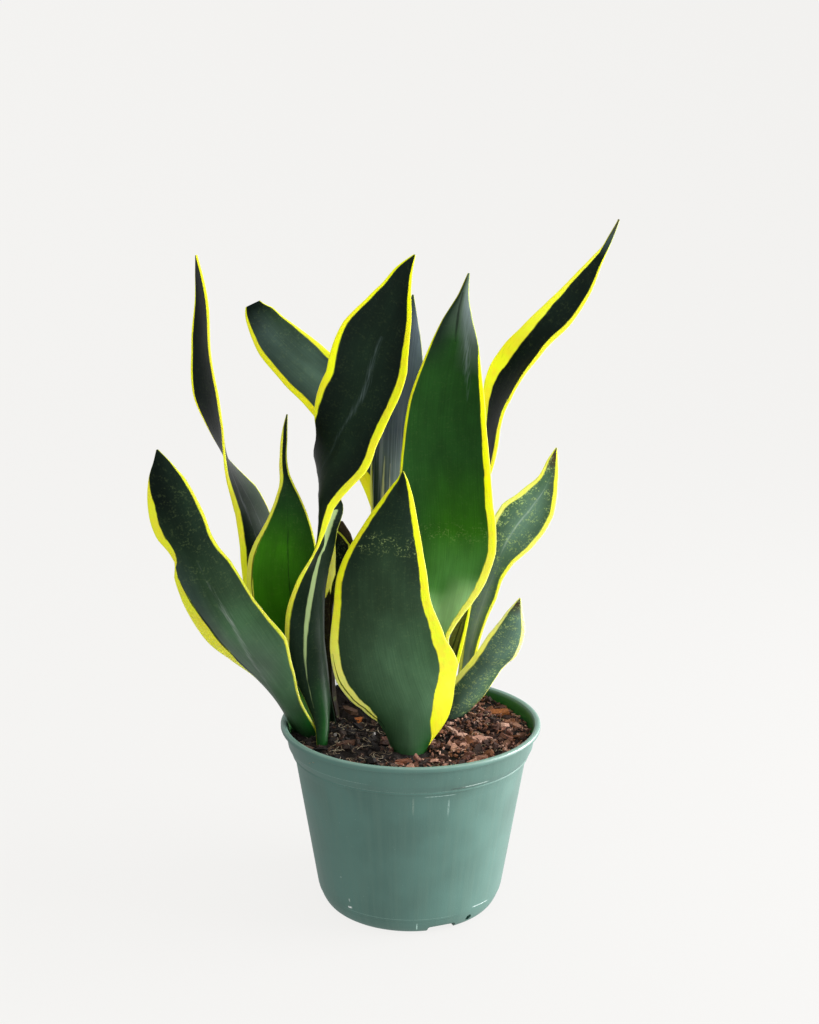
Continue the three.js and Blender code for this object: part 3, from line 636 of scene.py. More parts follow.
def between(table, z, column=1):
    """A column of a table of rows (z, ...), read at a height, with straight lines between rows."""
    if z <= table[0][0]:
        return table[0][column]
    for low, high in zip(table, table[1:]):
        if z <= high[0]:
            share = (z - low[0]) / (high[0] - low[0])
            return low[column] + share * (high[column] - low[column])
    return table[-1][column]


def along(rows, t):
    """A smooth curve through the rows of a table, each column on its own, for t from 0 to 1."""
    last = len(rows) - 1
    place = min(t * last, last - 1e-9)
    i = int(place)
    f = place - i
    a, b, c, d = (rows[min(max(k, 0), last)] for k in (i - 1, i, i + 1, i + 2))
    out = []
    for p, q, r, s in zip(a, b, c, d):
        bend = 2 * p - 5 * q + 4 * r - s
        twist = 3 * q - p - 3 * r + s
        out.append(q + 0.5 * f * (r - p + f * (bend + f * twist)))
    return out


def frame_at(rows, t):
    """The midrib point, the way across the blade and the way that its face looks."""
    here = Vector(along(rows, t)[:3])
    before = Vector(along(rows, max(t - SLOPE_STEP, 0))[:3])
    after = Vector(along(rows, min(t + SLOPE_STEP, 1))[:3])
    up = (after - before).normalized()
    turn = math.radians(along(rows, t)[4])
    across = Vector((math.cos(turn), math.sin(turn), 0))
    across = (across - up * across.dot(up)).normalized()
    return here, across, across.cross(up)


# ---- Objects ----

ATTRIBUTE_FIELDS = {"FLOAT": "value", "FLOAT_VECTOR": "vector", "FLOAT_COLOR": "color"}


def new_object(name, vertices, faces, material, smooth=True):
    """A mesh object from points in millimetres."""
    mesh = bpy.data.meshes.new(name)
    mesh.from_pydata([tuple(c * MM for c in v) for v in vertices], [], faces)
    mesh.validate()
    mesh.polygons.foreach_set("use_smooth", [smooth] * len(mesh.polygons))
    mesh.materials.append(material)
    obj = bpy.data.objects.new(name, mesh)
    bpy.context.scene.collection.objects.link(obj)
    return obj


def give(mesh, name, kind, values):
    """Give each point of a mesh a number, a vector or a colour under a name, for the shaders."""
    field = ATTRIBUTE_FIELDS[kind]
    flat = values if kind == "FLOAT" else [c for value in values for c in value]
    mesh.attributes.new(name, kind, "POINT").data.foreach_set(field, flat)


# ---- Shaders ----


class Shader:
    """A material with short calls for the nodes that are used here."""

    def __init__(self, name, specular):
        self.material = bpy.data.materials.new(name)
        self.material.use_nodes = True
        self.nodes = self.material.node_tree.nodes
        self.links = self.material.node_tree.links
        self.surface = self.nodes["Principled BSDF"].inputs
        self.surface["Specular IOR Level"].default_value = specular

    def put(self, sockets, *values):
        for socket, value in zip(sockets, values):
            if isinstance(value, bpy.types.NodeSocket):
                self.links.new(value, socket)
            else:
                socket.default_value = value

    def paint(self, name, value):
        """Set one of the surface's own sockets, or link to it."""
        self.put([self.surface[name]], value)

    def math(self, operation, *values):
        node = self.nodes.new("ShaderNodeMath")
        node.operation = operation
        self.put(node.inputs, *values)
        return node.outputs[0]

    def times(self, a, b):
        return self.math("MULTIPLY", a, b)

    def plus(self, a, b):
        return self.math("ADD", a, b)

    def minus(self, a, b):
        return self.math("SUBTRACT", a, b)

    def distance(self, a, b):
        return self.math("ABSOLUTE", self.minus(a, b))

    def step(self, value, low, high, bottom=0.0, top=1.0):
        """A smooth step from bottom to top as the value goes from low to high."""
        node = self.nodes.new("ShaderNodeMapRange")
        node.interpolation_type = "SMOOTHSTEP"
        self.put(node.inputs, value, low, high, bottom, top)
        return node.outputs["Result"]

    def mix(self, factor, a, b, blend="MIX"):
        node = self.nodes.new("ShaderNodeMix")
        node.data_type = "RGBA"
        node.blend_type = blend
        self.put([node.inputs[k] for k in (0, 6, 7)], factor, a, b)
        return node.outputs[2]

    def shaded(self, colour, shade):
        return self.mix(1.0, colour, self.vector(shade, shade, shade), "MULTIPLY")

    def noise(self, vector, scale=1.0, detail=2.0, rough=0.5):
        node = self.nodes.new("ShaderNodeTexNoise")
        names = ("Vector", "Scale", "Detail", "Roughness")
        self.put([node.inputs[name] for name in names], vector, scale, detail, rough)
        return node.outputs["Fac"]

    def vector(self, x, y, z):
        node = self.nodes.new("ShaderNodeCombineXYZ")
        self.put(node.inputs, x, y, z)
        return node.outputs[0]

    def read(self, name, output="Fac"):
        """What a mesh was given under a name: a number (Fac), a Color or a Vector."""
        node = self.nodes.new("ShaderNodeAttribute")
        node.attribute_name = name
        return node.outputs[output]

    def split(self, vector):
        node = self.nodes.new("ShaderNodeSeparateXYZ")
        self.links.new(vector, node.inputs[0])
        return node.outputs

    def stripe(self, name, wobble):
        """A stripe's share: the attribute holds the distance to it, its half width and softness."""
        away, half_width, soft = self.split(self.read(name, "Vector"))
        depth = self.minus(half_width, self.math("ABSOLUTE", away))
        depth = self.plus(depth, self.times(self.minus(wobble, 0.5), soft))
        return self.step(self.math("DIVIDE", depth, soft), -0.5, 0.5)

    def place(self):
        """The point on the surface in the object's own millimetres, as X, Y and Z."""
        coordinate = self.nodes.new("ShaderNodeTexCoord")
        scale = self.nodes.new("ShaderNodeVectorMath")
        scale.operation = "SCALE"
        scale.inputs["Scale"].default_value = 1 / MM
        self.links.new(coordinate.outputs["Object"], scale.inputs[0])
        return self.split(scale.outputs[0])

    def bump(self, height, distance, strength):
        node = self.nodes.new("ShaderNodeBump")
        names = ("Height", "Distance", "Strength")
        self.put([node.inputs[name] for name in names], height, distance, strength)
        self.links.new(node.outputs[0], self.surface["Normal"])


def leaf_grain(s, sideways, lengthways, detail, rough=0.5):
    """Noise that is stretched along the blade and differs from leaf to leaf."""
    x, y = s.times(s.read("across"), sideways), s.times(s.read("run"), lengthways)
    return s.noise(s.vector(x, y, s.read("seed")), 1, detail, rough)


def leaf_green(s, veins, shreds):
    """The blade between the margins: its tones with mottle, clouds, veins, streaks and pale stripes; the
    streaks, some tones and some pale stripes are painted sheen.
    """
    bands = s.step(leaf_grain(s, 0.2, 0.28, 3, 0.6), 0.42, 0.62)
    flecks = s.step(leaf_grain(s, 0.75, 0.8, 3, 0.7), 0.5, 0.62)
    mottle = s.times(s.times(bands, flecks), s.read("bands"))
    tone = s.read("tone", "Color")
    green = s.mix(mottle, tone, s.mix(0.6, tone, linear(MOTTLE)))
    clouds = s.step(leaf_grain(s, 0.1, 0.045, 2), 0.3, 0.7, 0.88, 1.14)
    green = s.shaded(green, s.times(s.step(veins, 0.3, 0.7, 0.94, 1.07), clouds))
    strands = leaf_grain(s, 0.8, 0.012, 3, 0.6)
    # Painted sheen: silver streaks, with dull ones where it breaks.
    green = s.mix(s.times(s.step(strands, 0.48, 0.66), s.read("streaks")), green, linear(SHEEN_STREAK))
    green = s.mix(s.times(s.step(strands, 0.46, 0.34), s.read("streaks")), green, linear(DULL_STREAK))
    # Pale stripes; some of them are soft painted sheen and highlights.
    for stripe, tint in (("pale_a", "tint_a"), ("pale_b", "tint_b")):
        green = s.mix(s.times(s.stripe(stripe, shreds), 0.85), green, s.read(tint, "Color"))
    return green


def leaf_yellow(s, wander, shreds, dark):
    """The margins: lime to yellow, or cream, with green streaks, dark lines, some of them painted shade,
    and a duller rim.
    """
    yellow = s.mix(s.step(wander, 0.35, 0.65), linear(LIME), linear(YELLOW))
    yellow = s.mix(s.read("cream"), yellow, linear(CREAM))
    yellow = s.mix(s.times(s.step(shreds, 0.58, 0.72), 0.3), yellow, linear(MARGIN_STREAK))
    yellow = s.mix(dark, yellow, linear(MARGIN_LINE_AND_SHADE))
    return s.mix(s.step(s.read("rim"), 0.4, 0.1, 0, 0.25), yellow, linear(MARGIN_RIM))


def leaf_material():
    """Green blade and yellow margins with a ragged seam between them, and fine lengthwise veins."""
    s = Shader("leaf_surface", 0.07)
    wander, shreds = leaf_grain(s, 0.1, 0.09, 3), leaf_grain(s, 1.5, 0.12, 2)
    veins, fine = leaf_grain(s, 1.3, 0.02, 3), leaf_grain(s, 5.0, 0.15, 1)
    shift = s.minus(s.plus(s.times(wander, 1.6), s.times(shreds, 0.8)), 1.2)
    inset = s.plus(s.read("inset"), s.times(shift, s.read("ragged")))
    # Dark stripes; some of them are painted shade.
    dark = s.math("MAXIMUM", s.stripe("dark_a", shreds), s.stripe("dark_b", shreds))
    green = s.mix(s.times(dark, 0.75), leaf_green(s, veins, shreds), linear(DARK_STRIPE_AND_SHADE))
    centre = s.step(inset, -0.3, 0.35)
    base = s.mix(centre, leaf_yellow(s, wander, shreds, dark), green)
    seam = s.step(s.math("ABSOLUTE", inset), 0.4, 0.0, 0, 0.4)
    s.paint("Base Color", s.mix(seam, base, linear(SEAM)))
    s.paint("Subsurface Weight", s.step(centre, 0, 1, 0.85, 0))
    s.paint("Subsurface Radius", (1.0, 0.95, 0.25))
    s.paint("Subsurface Scale", 0.008)
    s.paint("Roughness", s.step(fine, 0.2, 0.8, 0.36, 0.5))
    ridges = s.plus(s.plus(s.times(veins, 0.7), s.times(fine, 0.12)), s.times(wander, 1.6))
    s.bump(ridges, 0.00018, 0.5)
    return s.material


def scuffed(s, base, degrees, z):
    """The pot's colour with its marks, each broken up by the same noise."""
    breaks = s.noise(s.vector(s.times(degrees, 1.6), 0.0, s.times(z, 2.0)), 1, 3)
    for at, height, length, thick, slope, share, tint in SCUFFS:
        off = s.minus(degrees, at)
        away = s.distance(z, s.plus(height, s.times(off, slope)))
        ends = s.step(s.math("ABSOLUTE", off), length, 0.7 * length)
        mark = s.times(s.step(away, thick, 0.3 * thick), ends)
        base = s.mix(s.times(mark, s.step(breaks, 0.36, 0.52, 0, share)), base, linear(tint))
    return base


def pot_material():
    """Moulded satin plastic: faint upright flow marks, dust, a few pale scuffs, painted shade inside and
    a painted lip highlight.
    """
    s = Shader("pot_plastic", 0.55)
    x, y, z = s.place()
    degrees = s.math("DEGREES", s.math("ARCTAN2", x, s.times(y, -1)))
    place = s.vector(x, y, z)
    clouds, grain = s.noise(place, 0.035, 3), s.noise(place, 1.1, 2)
    flow = s.noise(s.vector(s.times(degrees, 0.35), 0.0, s.times(z, 0.02)), 1, 3)
    dust = s.step(s.noise(place, 0.9, 1), 0.76, 0.82, 0, 0.35)
    base = s.mix(s.step(clouds, 0.3, 0.7), linear(POT_DARK), linear(POT_LIGHT))
    base = s.mix(s.step(flow, 0.35, 0.7, 0, 0.35), base, linear(POT_FLOW))
    base = s.mix(dust, base, linear(POT_DUST))
    # The inside is painted a darker, more saturated green: painted shade.
    base = s.mix(s.read("inside"), base, linear(POT_INSIDE_SHADE))
    # Painted highlight along the top of the lip.
    base = s.mix(s.read("lip"), base, linear(POT_LIP_HIGHLIGHT))
    s.paint("Base Color", scuffed(s, base, degrees, z))
    s.paint("Roughness", s.step(clouds, 0.2, 0.8, 0.44, 0.56))
    s.bump(s.plus(grain, s.times(flow, 1.5)), 0.00008, 0.6)
    return s.material


def bark_material():
    """Bark in the tint of each piece, with lengthwise fibres and dark pores."""
    s = Shader("bark_pieces", 0.25)
    x, y, z = s.place()
    fibres = s.noise(s.vector(s.times(x, 0.5), s.times(y, 2.4), s.times(z, 2.4)), 1, 4, 0.65)
    pores = s.noise(s.vector(x, y, z), 2.2, 3, 0.7)
    base = s.shaded(s.read("tint", "Color"), s.step(fibres, 0.28, 0.72, 0.5, 1.45))
    s.paint("Base Color", s.mix(s.step(pores, 0.52, 0.66, 0, 0.6), base, linear(PORE_TINT)))
    s.paint("Roughness", 0.92)
    s.bump(s.plus(fibres, pores), 0.0005, 0.9)
    return s.material


# ---- Leaf meshes ----

NONE = [(0, 0, 0)]  # a table that says nothing anywhere
NO_STRIPE = ("none", 1, NONE, (0, 0, 0))
BEYOND = -9  # the half width of a stripe where there is none
PLACES = [math.sin(0.5 * math.pi * (2 * k / COLUMNS - 1)) for k in range(COLUMNS + 1)]


def half_thickness(middle, u, half_width):
    """Half the blade's thickness, rounded off at the margin."""
    full = 0.5 * (MARGIN_THICKNESS + max(middle - MARGIN_THICKNESS, 0) * (1 - u * u))
    radius = min(0.5 * MARGIN_THICKNESS, 0.5 * half_width)
    depth = min((1 - abs(u)) * half_width / radius, 1)
    return min(full, half_width) * math.sqrt(1 - (1 - depth) ** 2)


def section(leaf, t):
    """One ring of a blade: points on the front face left to right, then back along the other."""
    here, across, face = frame_at(leaf["stations"], t)
    here.x += between(leaf.get("shift", NONE), here.z)
    width, _, cup = along(leaf["stations"], t)[3:]
    height, count, phase = leaf["wave"]
    ripple = height * math.sin(2 * math.pi * (count * t + phase)) * min(1, width / FULL_RIPPLE_WIDTH)
    middle = min(leaf["thick"] * (1 - TIP_THINNING * t), 0.3 * width + 0.8)
    edges = leaf.get("edges", NONE)
    sides = [max(0.5 * width + between(edges, here.z, k), LEAST_HALF_WIDTH) for k in (1, 2)]
    front, back = [], []
    for u in PLACES:
        half_width = sides[0] if u < 0 else sides[1]
        slope = (2 * cup * u + 3 * ripple * u * u) / half_width
        outward = (face - across * slope).normalized()
        point = here + across * (u * half_width) + face * (cup * u * u + ripple * u**3)
        half = half_thickness(middle, u, half_width)
        front.append((point + outward * half, u, half_width, "front"))
        back.append((point - outward * half, u, half_width, "back"))
    return front + back[-2:0:-1], here


def stripe_at(stripe, side, z, u, half_width):
    """Signed distance to a stripe's middle, its half width, negative beyond its ends, and softness."""
    face, soft, rows = stripe[:3]
    if face != side:
        return (0, BEYOND, 1)
    wide = between(rows, z, 2) if rows[0][0] <= z <= rows[-1][0] else BEYOND
    return (u * half_width - between(rows, z) * half_width, wide, soft)


def tone_rows(rows):
    """A table of colour names as a table of numbers: z, then three for each place across."""
    table = []
    for z, text in rows:
        names = text.split()
        names = names * 3 if len(names) == 1 else names
        table.append([z] + [c for name in names for c in linear(PALETTE[name])[:3]])
    return table


def tone_at(rows, z, u):
    """The painted colour at a height and a place across the blade."""
    side = 1 if u < 0 else 7
    share = min(abs(u) / EDGE_TONE_FROM, 1)
    colour = []
    for c in range(3):
        middle = between(rows, z, 4 + c)
        colour.append(middle + share * (between(rows, z, side + c) - middle))
    return colour + [1.0]


def painted(leaf, run, z, u, half_width):
    """The numbers that the leaf's shader reads at one point."""
    left, right = (1 + u) * half_width, (1 - u) * half_width
    left_margin, right_margin = between(leaf["margins"], z, 1), between(leaf["margins"], z, 2)
    cream_column = len(leaf["cream"][0]) - 1 if u > 0 else 1
    return {
        "across": u * half_width,
        "run": run,
        "inset": min(left - left_margin, right - right_margin),
        "rim": min(left, right),
        "ragged": min((left_margin if u < 0 else right_margin) / FULL_RAGGED_MARGIN, 1),
        "cream": between(leaf["cream"], z, cream_column),
        "bands": between(leaf["bands"], z),
        "streaks": between(leaf.get("streaks", NONE), z),
    }


def paint_leaf(mesh, leaf, samples, seed):
    """Give a blade's points what its shader reads. A sample is (run, z, u, half width, face)."""
    rows = {"front": tone_rows(leaf["tones"]), "back": tone_rows(leaf.get("back", leaf["tones"]))}
    numbers = [painted(leaf, *sample[:4]) for sample in samples]
    for name in numbers[0]:
        give(mesh, name, "FLOAT", [values[name] for values in numbers])
    give(mesh, "seed", "FLOAT", [seed] * len(samples))
    stripes = leaf.get("stripes", {})
    for name in ("dark_a", "dark_b", "pale_a", "pale_b"):
        stripe = stripes.get(name, NO_STRIPE)
        vectors = [stripe_at(stripe, side, z, u, half_width) for _, z, u, half_width, side in samples]
        give(mesh, name, "FLOAT_VECTOR", vectors)
    for name, stripe in (("tint_a", "pale_a"), ("tint_b", "pale_b")):
        give(mesh, name, "FLOAT_COLOR", [linear(stripes.get(stripe, NO_STRIPE)[3])] * len(samples))
    give(mesh, "tone", "FLOAT_COLOR", [tone_at(rows[side], z, u) for _, z, u, _, side in samples])


def make_leaf(name, leaf, seed, material):
    """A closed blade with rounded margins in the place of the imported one."""
    steps = ROWS_PER_STATION * (len(leaf["stations"]) - 1)
    points, samples, faces = [], [], []
    ring = 2 * COLUMNS
    run = 0.0
    last = None
    for j in range(steps + 1):
        outline, here = section(leaf, j / steps)
        run += (here - last).length if last else 0.0
        last = here
        for point, u, half_width, side in outline:
            points.append(point)
            samples.append((run, here.z, u, half_width, side))
    for j in range(steps):
        low = j * ring
        for i in range(ring):
            k = (i + 1) % ring
            faces.append((low + i, low + k, low + ring + k, low + ring + i))
    faces.append(tuple(reversed(range(ring))))
    faces.append(tuple(range(steps * ring, steps * ring + ring)))
    obj = new_object(name + "_blade", points, faces, material)
    paint_leaf(obj.data, leaf, samples, seed)
    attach(obj, "root")
    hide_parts(name)


# ---- Pot ----


def rounded(radius, height, steps):
    """A corner of the section, rounded by its table of steps."""
    return [(radius + out, height + up) for out, up in steps]


def pot_profile():
    """The pot's section as (radius, height), from the middle of the underside round to inside."""
    foot_in = FOOT_RADIUS - FOOT_RING_WIDTH
    inner_band = BAND_TOP_RADIUS - POT_WALL
    floor = CHANNEL_HEIGHT + POT_WALL
    under = [
        (0.01, 0), (PAD_RADIUS, 0), (PAD_RADIUS + POT_WALL, CHANNEL_HEIGHT),
        (foot_in - POT_WALL, CHANNEL_HEIGHT), (foot_in, 0),
    ]
    outside = rounded(FOOT_RADIUS, 0, FOOT_ROUND) + rounded(*WALL_TOP, WALL_ROUND)
    outside += rounded(*RIDGE, RIDGE_ROUND) + rounded(*BAND_FOOT, BAND_FOOT_ROUND)
    outside += rounded(BAND_TOP_RADIUS, POT_HEIGHT, BAND_TOP_ROUND)
    outside += rounded(LIP_RADIUS, POT_HEIGHT, LIP_ROUND)
    inside = [
        (inner_band + 0.1, POT_HEIGHT - 2.4), (inner_band - 0.2, POT_HEIGHT - 5),
        (BAND_FOOT[0] - POT_WALL, BAND_FOOT[1]), (RIDGE[0] - POT_WALL - 0.9, RIDGE[1]),
        (WALL_TOP[0] - POT_WALL, WALL_TOP[1]), (WALL_FOOT[0] - POT_WALL, WALL_FOOT[1]),
        (FOOT_RADIUS + FLOOR_EDGE - POT_WALL, floor), (0.01, floor),
    ]
    return under + outside + inside


def turned(profile, sides):
    """Points and faces of a section turned about the upright, closed over both its ends."""
    points, faces = [], []
    for radius, z in profile:
        for k in range(sides):
            turn = 2 * math.pi * k / sides
            points.append((radius * math.sin(turn), -radius * math.cos(turn), z))
    for j in range(len(profile) - 1):
        for k in range(sides):
            n = (k + 1) % sides
            low, high = j * sides, (j + 1) * sides
            faces.append((low + k, low + n, high + n, high + k))
    faces.append(tuple(reversed(range(sides))))
    faces.append(tuple(range((len(profile) - 1) * sides, len(profile) * sides)))
    return points, faces


def prism(outline, depth, turn, radius):
    """A cutter: an outline of (sideways, up) points pushed inwards from the pot's outer side."""
    rotation = Matrix.Rotation(math.radians(turn), 3, "Z")
    near = [rotation @ Vector((x, -radius, z)) for x, z in outline]
    far = [rotation @ Vector((x, depth - radius, z)) for x, z in outline]
    count = len(outline)
    faces = [tuple(range(count)), tuple(reversed(range(count, 2 * count)))]
    faces += [(k, k + count, (k + 1) % count + count, (k + 1) % count) for k in range(count)]
    return near + far, faces


def cut(obj, points, faces):
    """Cut a closed mesh out of an object and keep only the result."""
    cutter = new_object("cutter", points, faces, obj.data.materials[0])
    modifier = obj.modifiers.new("cut", "BOOLEAN")
    modifier.operation = "DIFFERENCE"
    modifier.object = cutter
    graph = bpy.context.evaluated_depsgraph_get()
    result = bpy.data.meshes.new_from_object(obj.evaluated_get(graph))
    obj.modifiers.clear()
    obj.data = result
    bpy.data.objects.remove(cutter)


def cut_drains(pot):
    """The notches under the foot, and the small hole beside each."""
    half, top, corner = 0.5 * NOTCH["width"], NOTCH["height"], NOTCH["corner"]
    notch = [
        (-half, -1), (half, -1), (half, top - corner), (half - corner, top), (corner - half, top),
        (-half, top - corner),
    ]
    radius, sides = DRAIN_HOLE["radius"], DRAIN_HOLE["sides"]
    ring = [math.radians(360 / sides * k) for k in range(sides)]
    hole = [(radius * math.cos(a), DRAIN_HOLE["height"] + radius * math.sin(a)) for a in ring]
    for k in range(NOTCH["count"]):
        turn = NOTCH["turn"] + 360 / NOTCH["count"] * k
        cut(pot, *prism(notch, NOTCH["depth"], turn, CUTTER_RADIUS))
        cut(pot, *prism(hole, DRAIN_HOLE["depth"], turn + DRAIN_HOLE["turn"], CUTTER_RADIUS))


def make_pot(material):
    pot = new_object("nursery_pot", *turned(pot_profile(), POT_SIDES), material)
    cut_drains(pot)
    pot.data.set_sharp_from_angle(angle=math.radians(CREASE_ANGLE))
    inside, lip = [], []
    for vertex in pot.data.vertices:
        x, y, z = (c / MM for c in vertex.co)
        # Points inside the wall take the painted shade.
        within = math.hypot(x, y) < between(WALL_MIDDLE, z) and z > CHANNEL_HEIGHT + 1
        inside.append(1.0 if within else 0.0)
        # The top of the lip takes the painted highlight.
        lip.append(LIP_HIGHLIGHT_SHARE if z > POT_HEIGHT - 0.5 else 0.0)
    give(pot.data, "inside", "FLOAT", inside)
    give(pot.data, "lip", "FLOAT", lip)
    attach(pot, "root")
    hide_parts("pot")


# ---- Potting mix ----


def soil_height(x, y):
    """Height of the mix's top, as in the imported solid, with finer lumps and the heaps."""
    roll = math.sin(x / 9 + 1) * math.cos(y / 11) + 0.6 * math.sin((x + 2 * y) / 7)
    lumps = 2.2 * noise.noise(Vector((x, y, 0)) / 7) + 0.8 * noise.noise(Vector((x, y, 9)) / 2)
    piled = 0
    for at_x, at_y, high, reach in HEAPS:
        share = 1 - ((x - at_x) ** 2 + (y - at_y) ** 2) / reach**2
        piled += high * max(share, 0) ** 2
    by_wall = SOIL_AT_WALL + 0.9 * (SOIL_RADIUS - math.hypot(x, y))
    return min(SOIL_TOP + SOIL_RISE * y + SOIL_ROLL * roll + lumps + piled, by_wall)


class Heap:
    """Many small closed shapes gathered for one mesh, each with its own tint."""

    def __init__(self):
        self.points, self.faces, self.tints = [], [], []

    def add(self, points, faces, tint):
        start = len(self.points)
        self.points += points
        self.faces += [tuple(start + i for i in face) for face in faces]
        self.tints += [linear(tint)] * len(points)


def chip(draw, length, width, height, corners):
    """A flat splinter with an uneven outline and an uneven top, sloped along its length."""
    rim = []
    for k in range(corners):
        turn = 2 * math.pi * (k + draw.uniform(-0.25, 0.25)) / corners
        reach = draw.uniform(0.8, 1.1)
        rim.append((0.5 * length * reach * math.cos(turn), 0.5 * width * reach * math.sin(turn)))
    lean = draw.uniform(-0.15, 0.15)
    low = [(x, y, -0.5 * height + lean * x * height / width) for x, y in rim]
    high = []
    for x, y in rim:
        top = height * draw.uniform(0.25, 0.65) + lean * x * height / width
        high.append((0.9 * x, 0.86 * y, top))
    faces = [tuple(reversed(range(corners))), tuple(range(corners, 2 * corners))]
    faces += [(k, (k + 1) % corners, (k + 1) % corners + corners, k + corners) for k in range(corners)]
    return [Vector(p) for p in low + high], faces


def fibre(draw, length, turn):
    """A thin curled root fibre as a closed tube of three sides."""
    bend = draw.uniform(-0.7, 0.7)
    place = Vector((0, 0, 0))
    points, faces = [], []
    for k in range(FIBRE_RINGS):
        radius = FIBRE_RADIUS * (1 - 0.5 * k / FIBRE_RINGS)
        side = Vector((-math.sin(turn), math.cos(turn), 0))
        for a in (0.5, 2.6, 4.7):
            points.append(place + side * (radius * math.cos(a)) + Vector((0, 0, radius * math.sin(a))))
        onward = Vector((math.cos(turn), math.sin(turn), draw.uniform(-0.5, 0.5)))
        place = place + onward * (length / FIBRE_RINGS)
        turn += bend * draw.uniform(0.3, 1.2)
    for k in range(FIBRE_RINGS - 1):
        for i in range(3):
            n = (i + 1) % 3
            faces.append((3 * k + i, 3 * k + n, 3 * k + 3 + n, 3 * k + 3 + i))
    last = 3 * FIBRE_RINGS
    faces += [(2, 1, 0), (last - 3, last - 2, last - 1)]
    return points, faces


def blocked(feet, x, y, reach):
    """Whether a place on the mix is inside a leaf or off the mix."""
    if math.hypot(x, y) > SOIL_RADIUS - 0.4 * reach:
        return True
    for middle, across, half_width, half_thick in feet:
        away = Vector((x, y, 0)) - middle
        sideways = abs(away.dot(across))
        through = (away - across * away.dot(across)).length
        if sideways < half_width + 0.2 * reach and through < half_thick:
            return True
    return False


def leaf_feet():
    """Where each leaf passes through the top of the mix."""
    feet = []
    for leaf in LEAVES.values():
        rows = leaf["stations"]
        t = 1 / (len(rows) - 1)
        here, across, _ = frame_at(rows, t)
        width, _, cup = along(rows, t)[3:]
        flat = Vector((across.x, across.y, 0)).normalized()
        feet.append((Vector((here.x, here.y, 0)), flat, 0.5 * width, 2 + 0.6 * abs(cup)))
    return feet


def drop(heap, draw, shape, x, y, sink, tilt, tint, turn=None):
    """Turn a shape at random, or by a given turn, and lay it on the mix."""
    points, faces = shape
    spin = Matrix.Rotation(draw.uniform(*ANY_TURN) if turn is None else math.radians(turn), 3, "Z")
    lean = Matrix.Rotation(draw.uniform(-tilt, tilt), 3, "X")
    lean = lean @ Matrix.Rotation(draw.uniform(-tilt, tilt), 3, "Y")
    base = Vector((x, y, soil_height(x, y) - sink))
    heap.add([base + spin @ (lean @ p) for p in points], faces, tint)


def spot(draw, feet, reach, wanted):
    """A free place on the mix; wanted(x) is the chance that it is taken."""
    while True:
        radius, turn = SOIL_RADIUS * math.sqrt(draw.random()), draw.uniform(*ANY_TURN)
        x, y = radius * math.cos(turn), radius * math.sin(turn)
        if not blocked(feet, x, y, reach) and draw.random() < wanted(x):
            return x, y


def bark_tints(draw, x, y):
    """The tints for a piece at this place: brown bark, or dark mix between its patches."""
    patch = noise.noise(Vector((x, y, 4)) / PATCH_SIZE)
    brown = x / BARK_DRIFT + PATCH_WEIGHT * patch + draw.uniform(-CHANCE_WEIGHT, CHANCE_WEIGHT)
    return BARK_TINTS if brown > LEAST_BROWN else DARK_TINTS


def soil_bed():
    """The body of the mix, closed, with an uneven top."""
    inner = POT_WALL + SOIL_GAP
    side = [
        (WALL_FOOT[0] - POT_WALL - 4, CHANNEL_HEIGHT + POT_WALL + SOIL_GAP),
        (WALL_FOOT[0] - inner, WALL_FOOT[1]), (WALL_TOP[0] - inner, WALL_TOP[1]),
        (RIDGE[0] - POT_WALL - 1.2, RIDGE[1]), (SOIL_RADIUS - 0.2, BAND_FOOT[1]),
    ]
    radii = [SOIL_RADIUS * (1 - k / SOIL_RINGS) for k in range(SOIL_RINGS)] + [0.05]
    points, faces = turned(side + [(radius, SOIL_TOP) for radius in radii], SOIL_SIDES)
    first = SOIL_SIDES * len(side)
    top = [(x, y, soil_height(x, y)) for x, y, _ in points[first:]]
    return [Vector(p) for p in points[:first] + top], faces


def strew(heap, draw, feet, kind):
    """Lay the loose pieces of one kind on the mix."""
    for _ in range(kind["count"]):
        short, long = kind["length"]
        length = short + (long - short) * draw.random() ** kind["power"]
        room = kind["room"][0] + kind["room"][1] * length
        x, y = spot(draw, feet, room, lambda x: USUAL_CHANCE if x > kind["line"] else kind["left"])
        tints = bark_tints(draw, x, y)
        width = length * draw.uniform(*kind["width"])
        shape = chip(draw, length, width, draw.uniform(*kind["height"]), kind["corners"])
        drop(heap, draw, shape, x, y, draw.uniform(*kind["sink"]), kind["tilt"], draw.choice(tints))


def add_fibres(heap, draw, feet):
    """Root fibres lying on the mix, mostly at the left, and upright ones on the heap at the back."""
    for _ in range(FIBRES["count"]):
        x, y = spot(draw, feet, FIBRES["room"], lambda x: USUAL_CHANCE if x < 0 else FIBRES["right"])
        shape = fibre(draw, draw.uniform(*FIBRES["length"]), draw.uniform(*ANY_TURN))
        drop(heap, draw, shape, x, y, FIBRES["sink"], FIBRES["tilt"], draw.choice(FIBRE_TINTS))
    for _ in range(HAIRS["count"]):
        points, faces = fibre(draw, draw.uniform(*HAIRS["length"]), 0)
        upright = [Vector((p.y, p.z, p.x)) for p in points]
        x, y = draw.uniform(*HAIRS["x"]), draw.uniform(*HAIRS["y"])
        drop(heap, draw, (upright, faces), x, y, HAIRS["sink"], HAIRS["tilt"], draw.choice(DARK_TINTS))


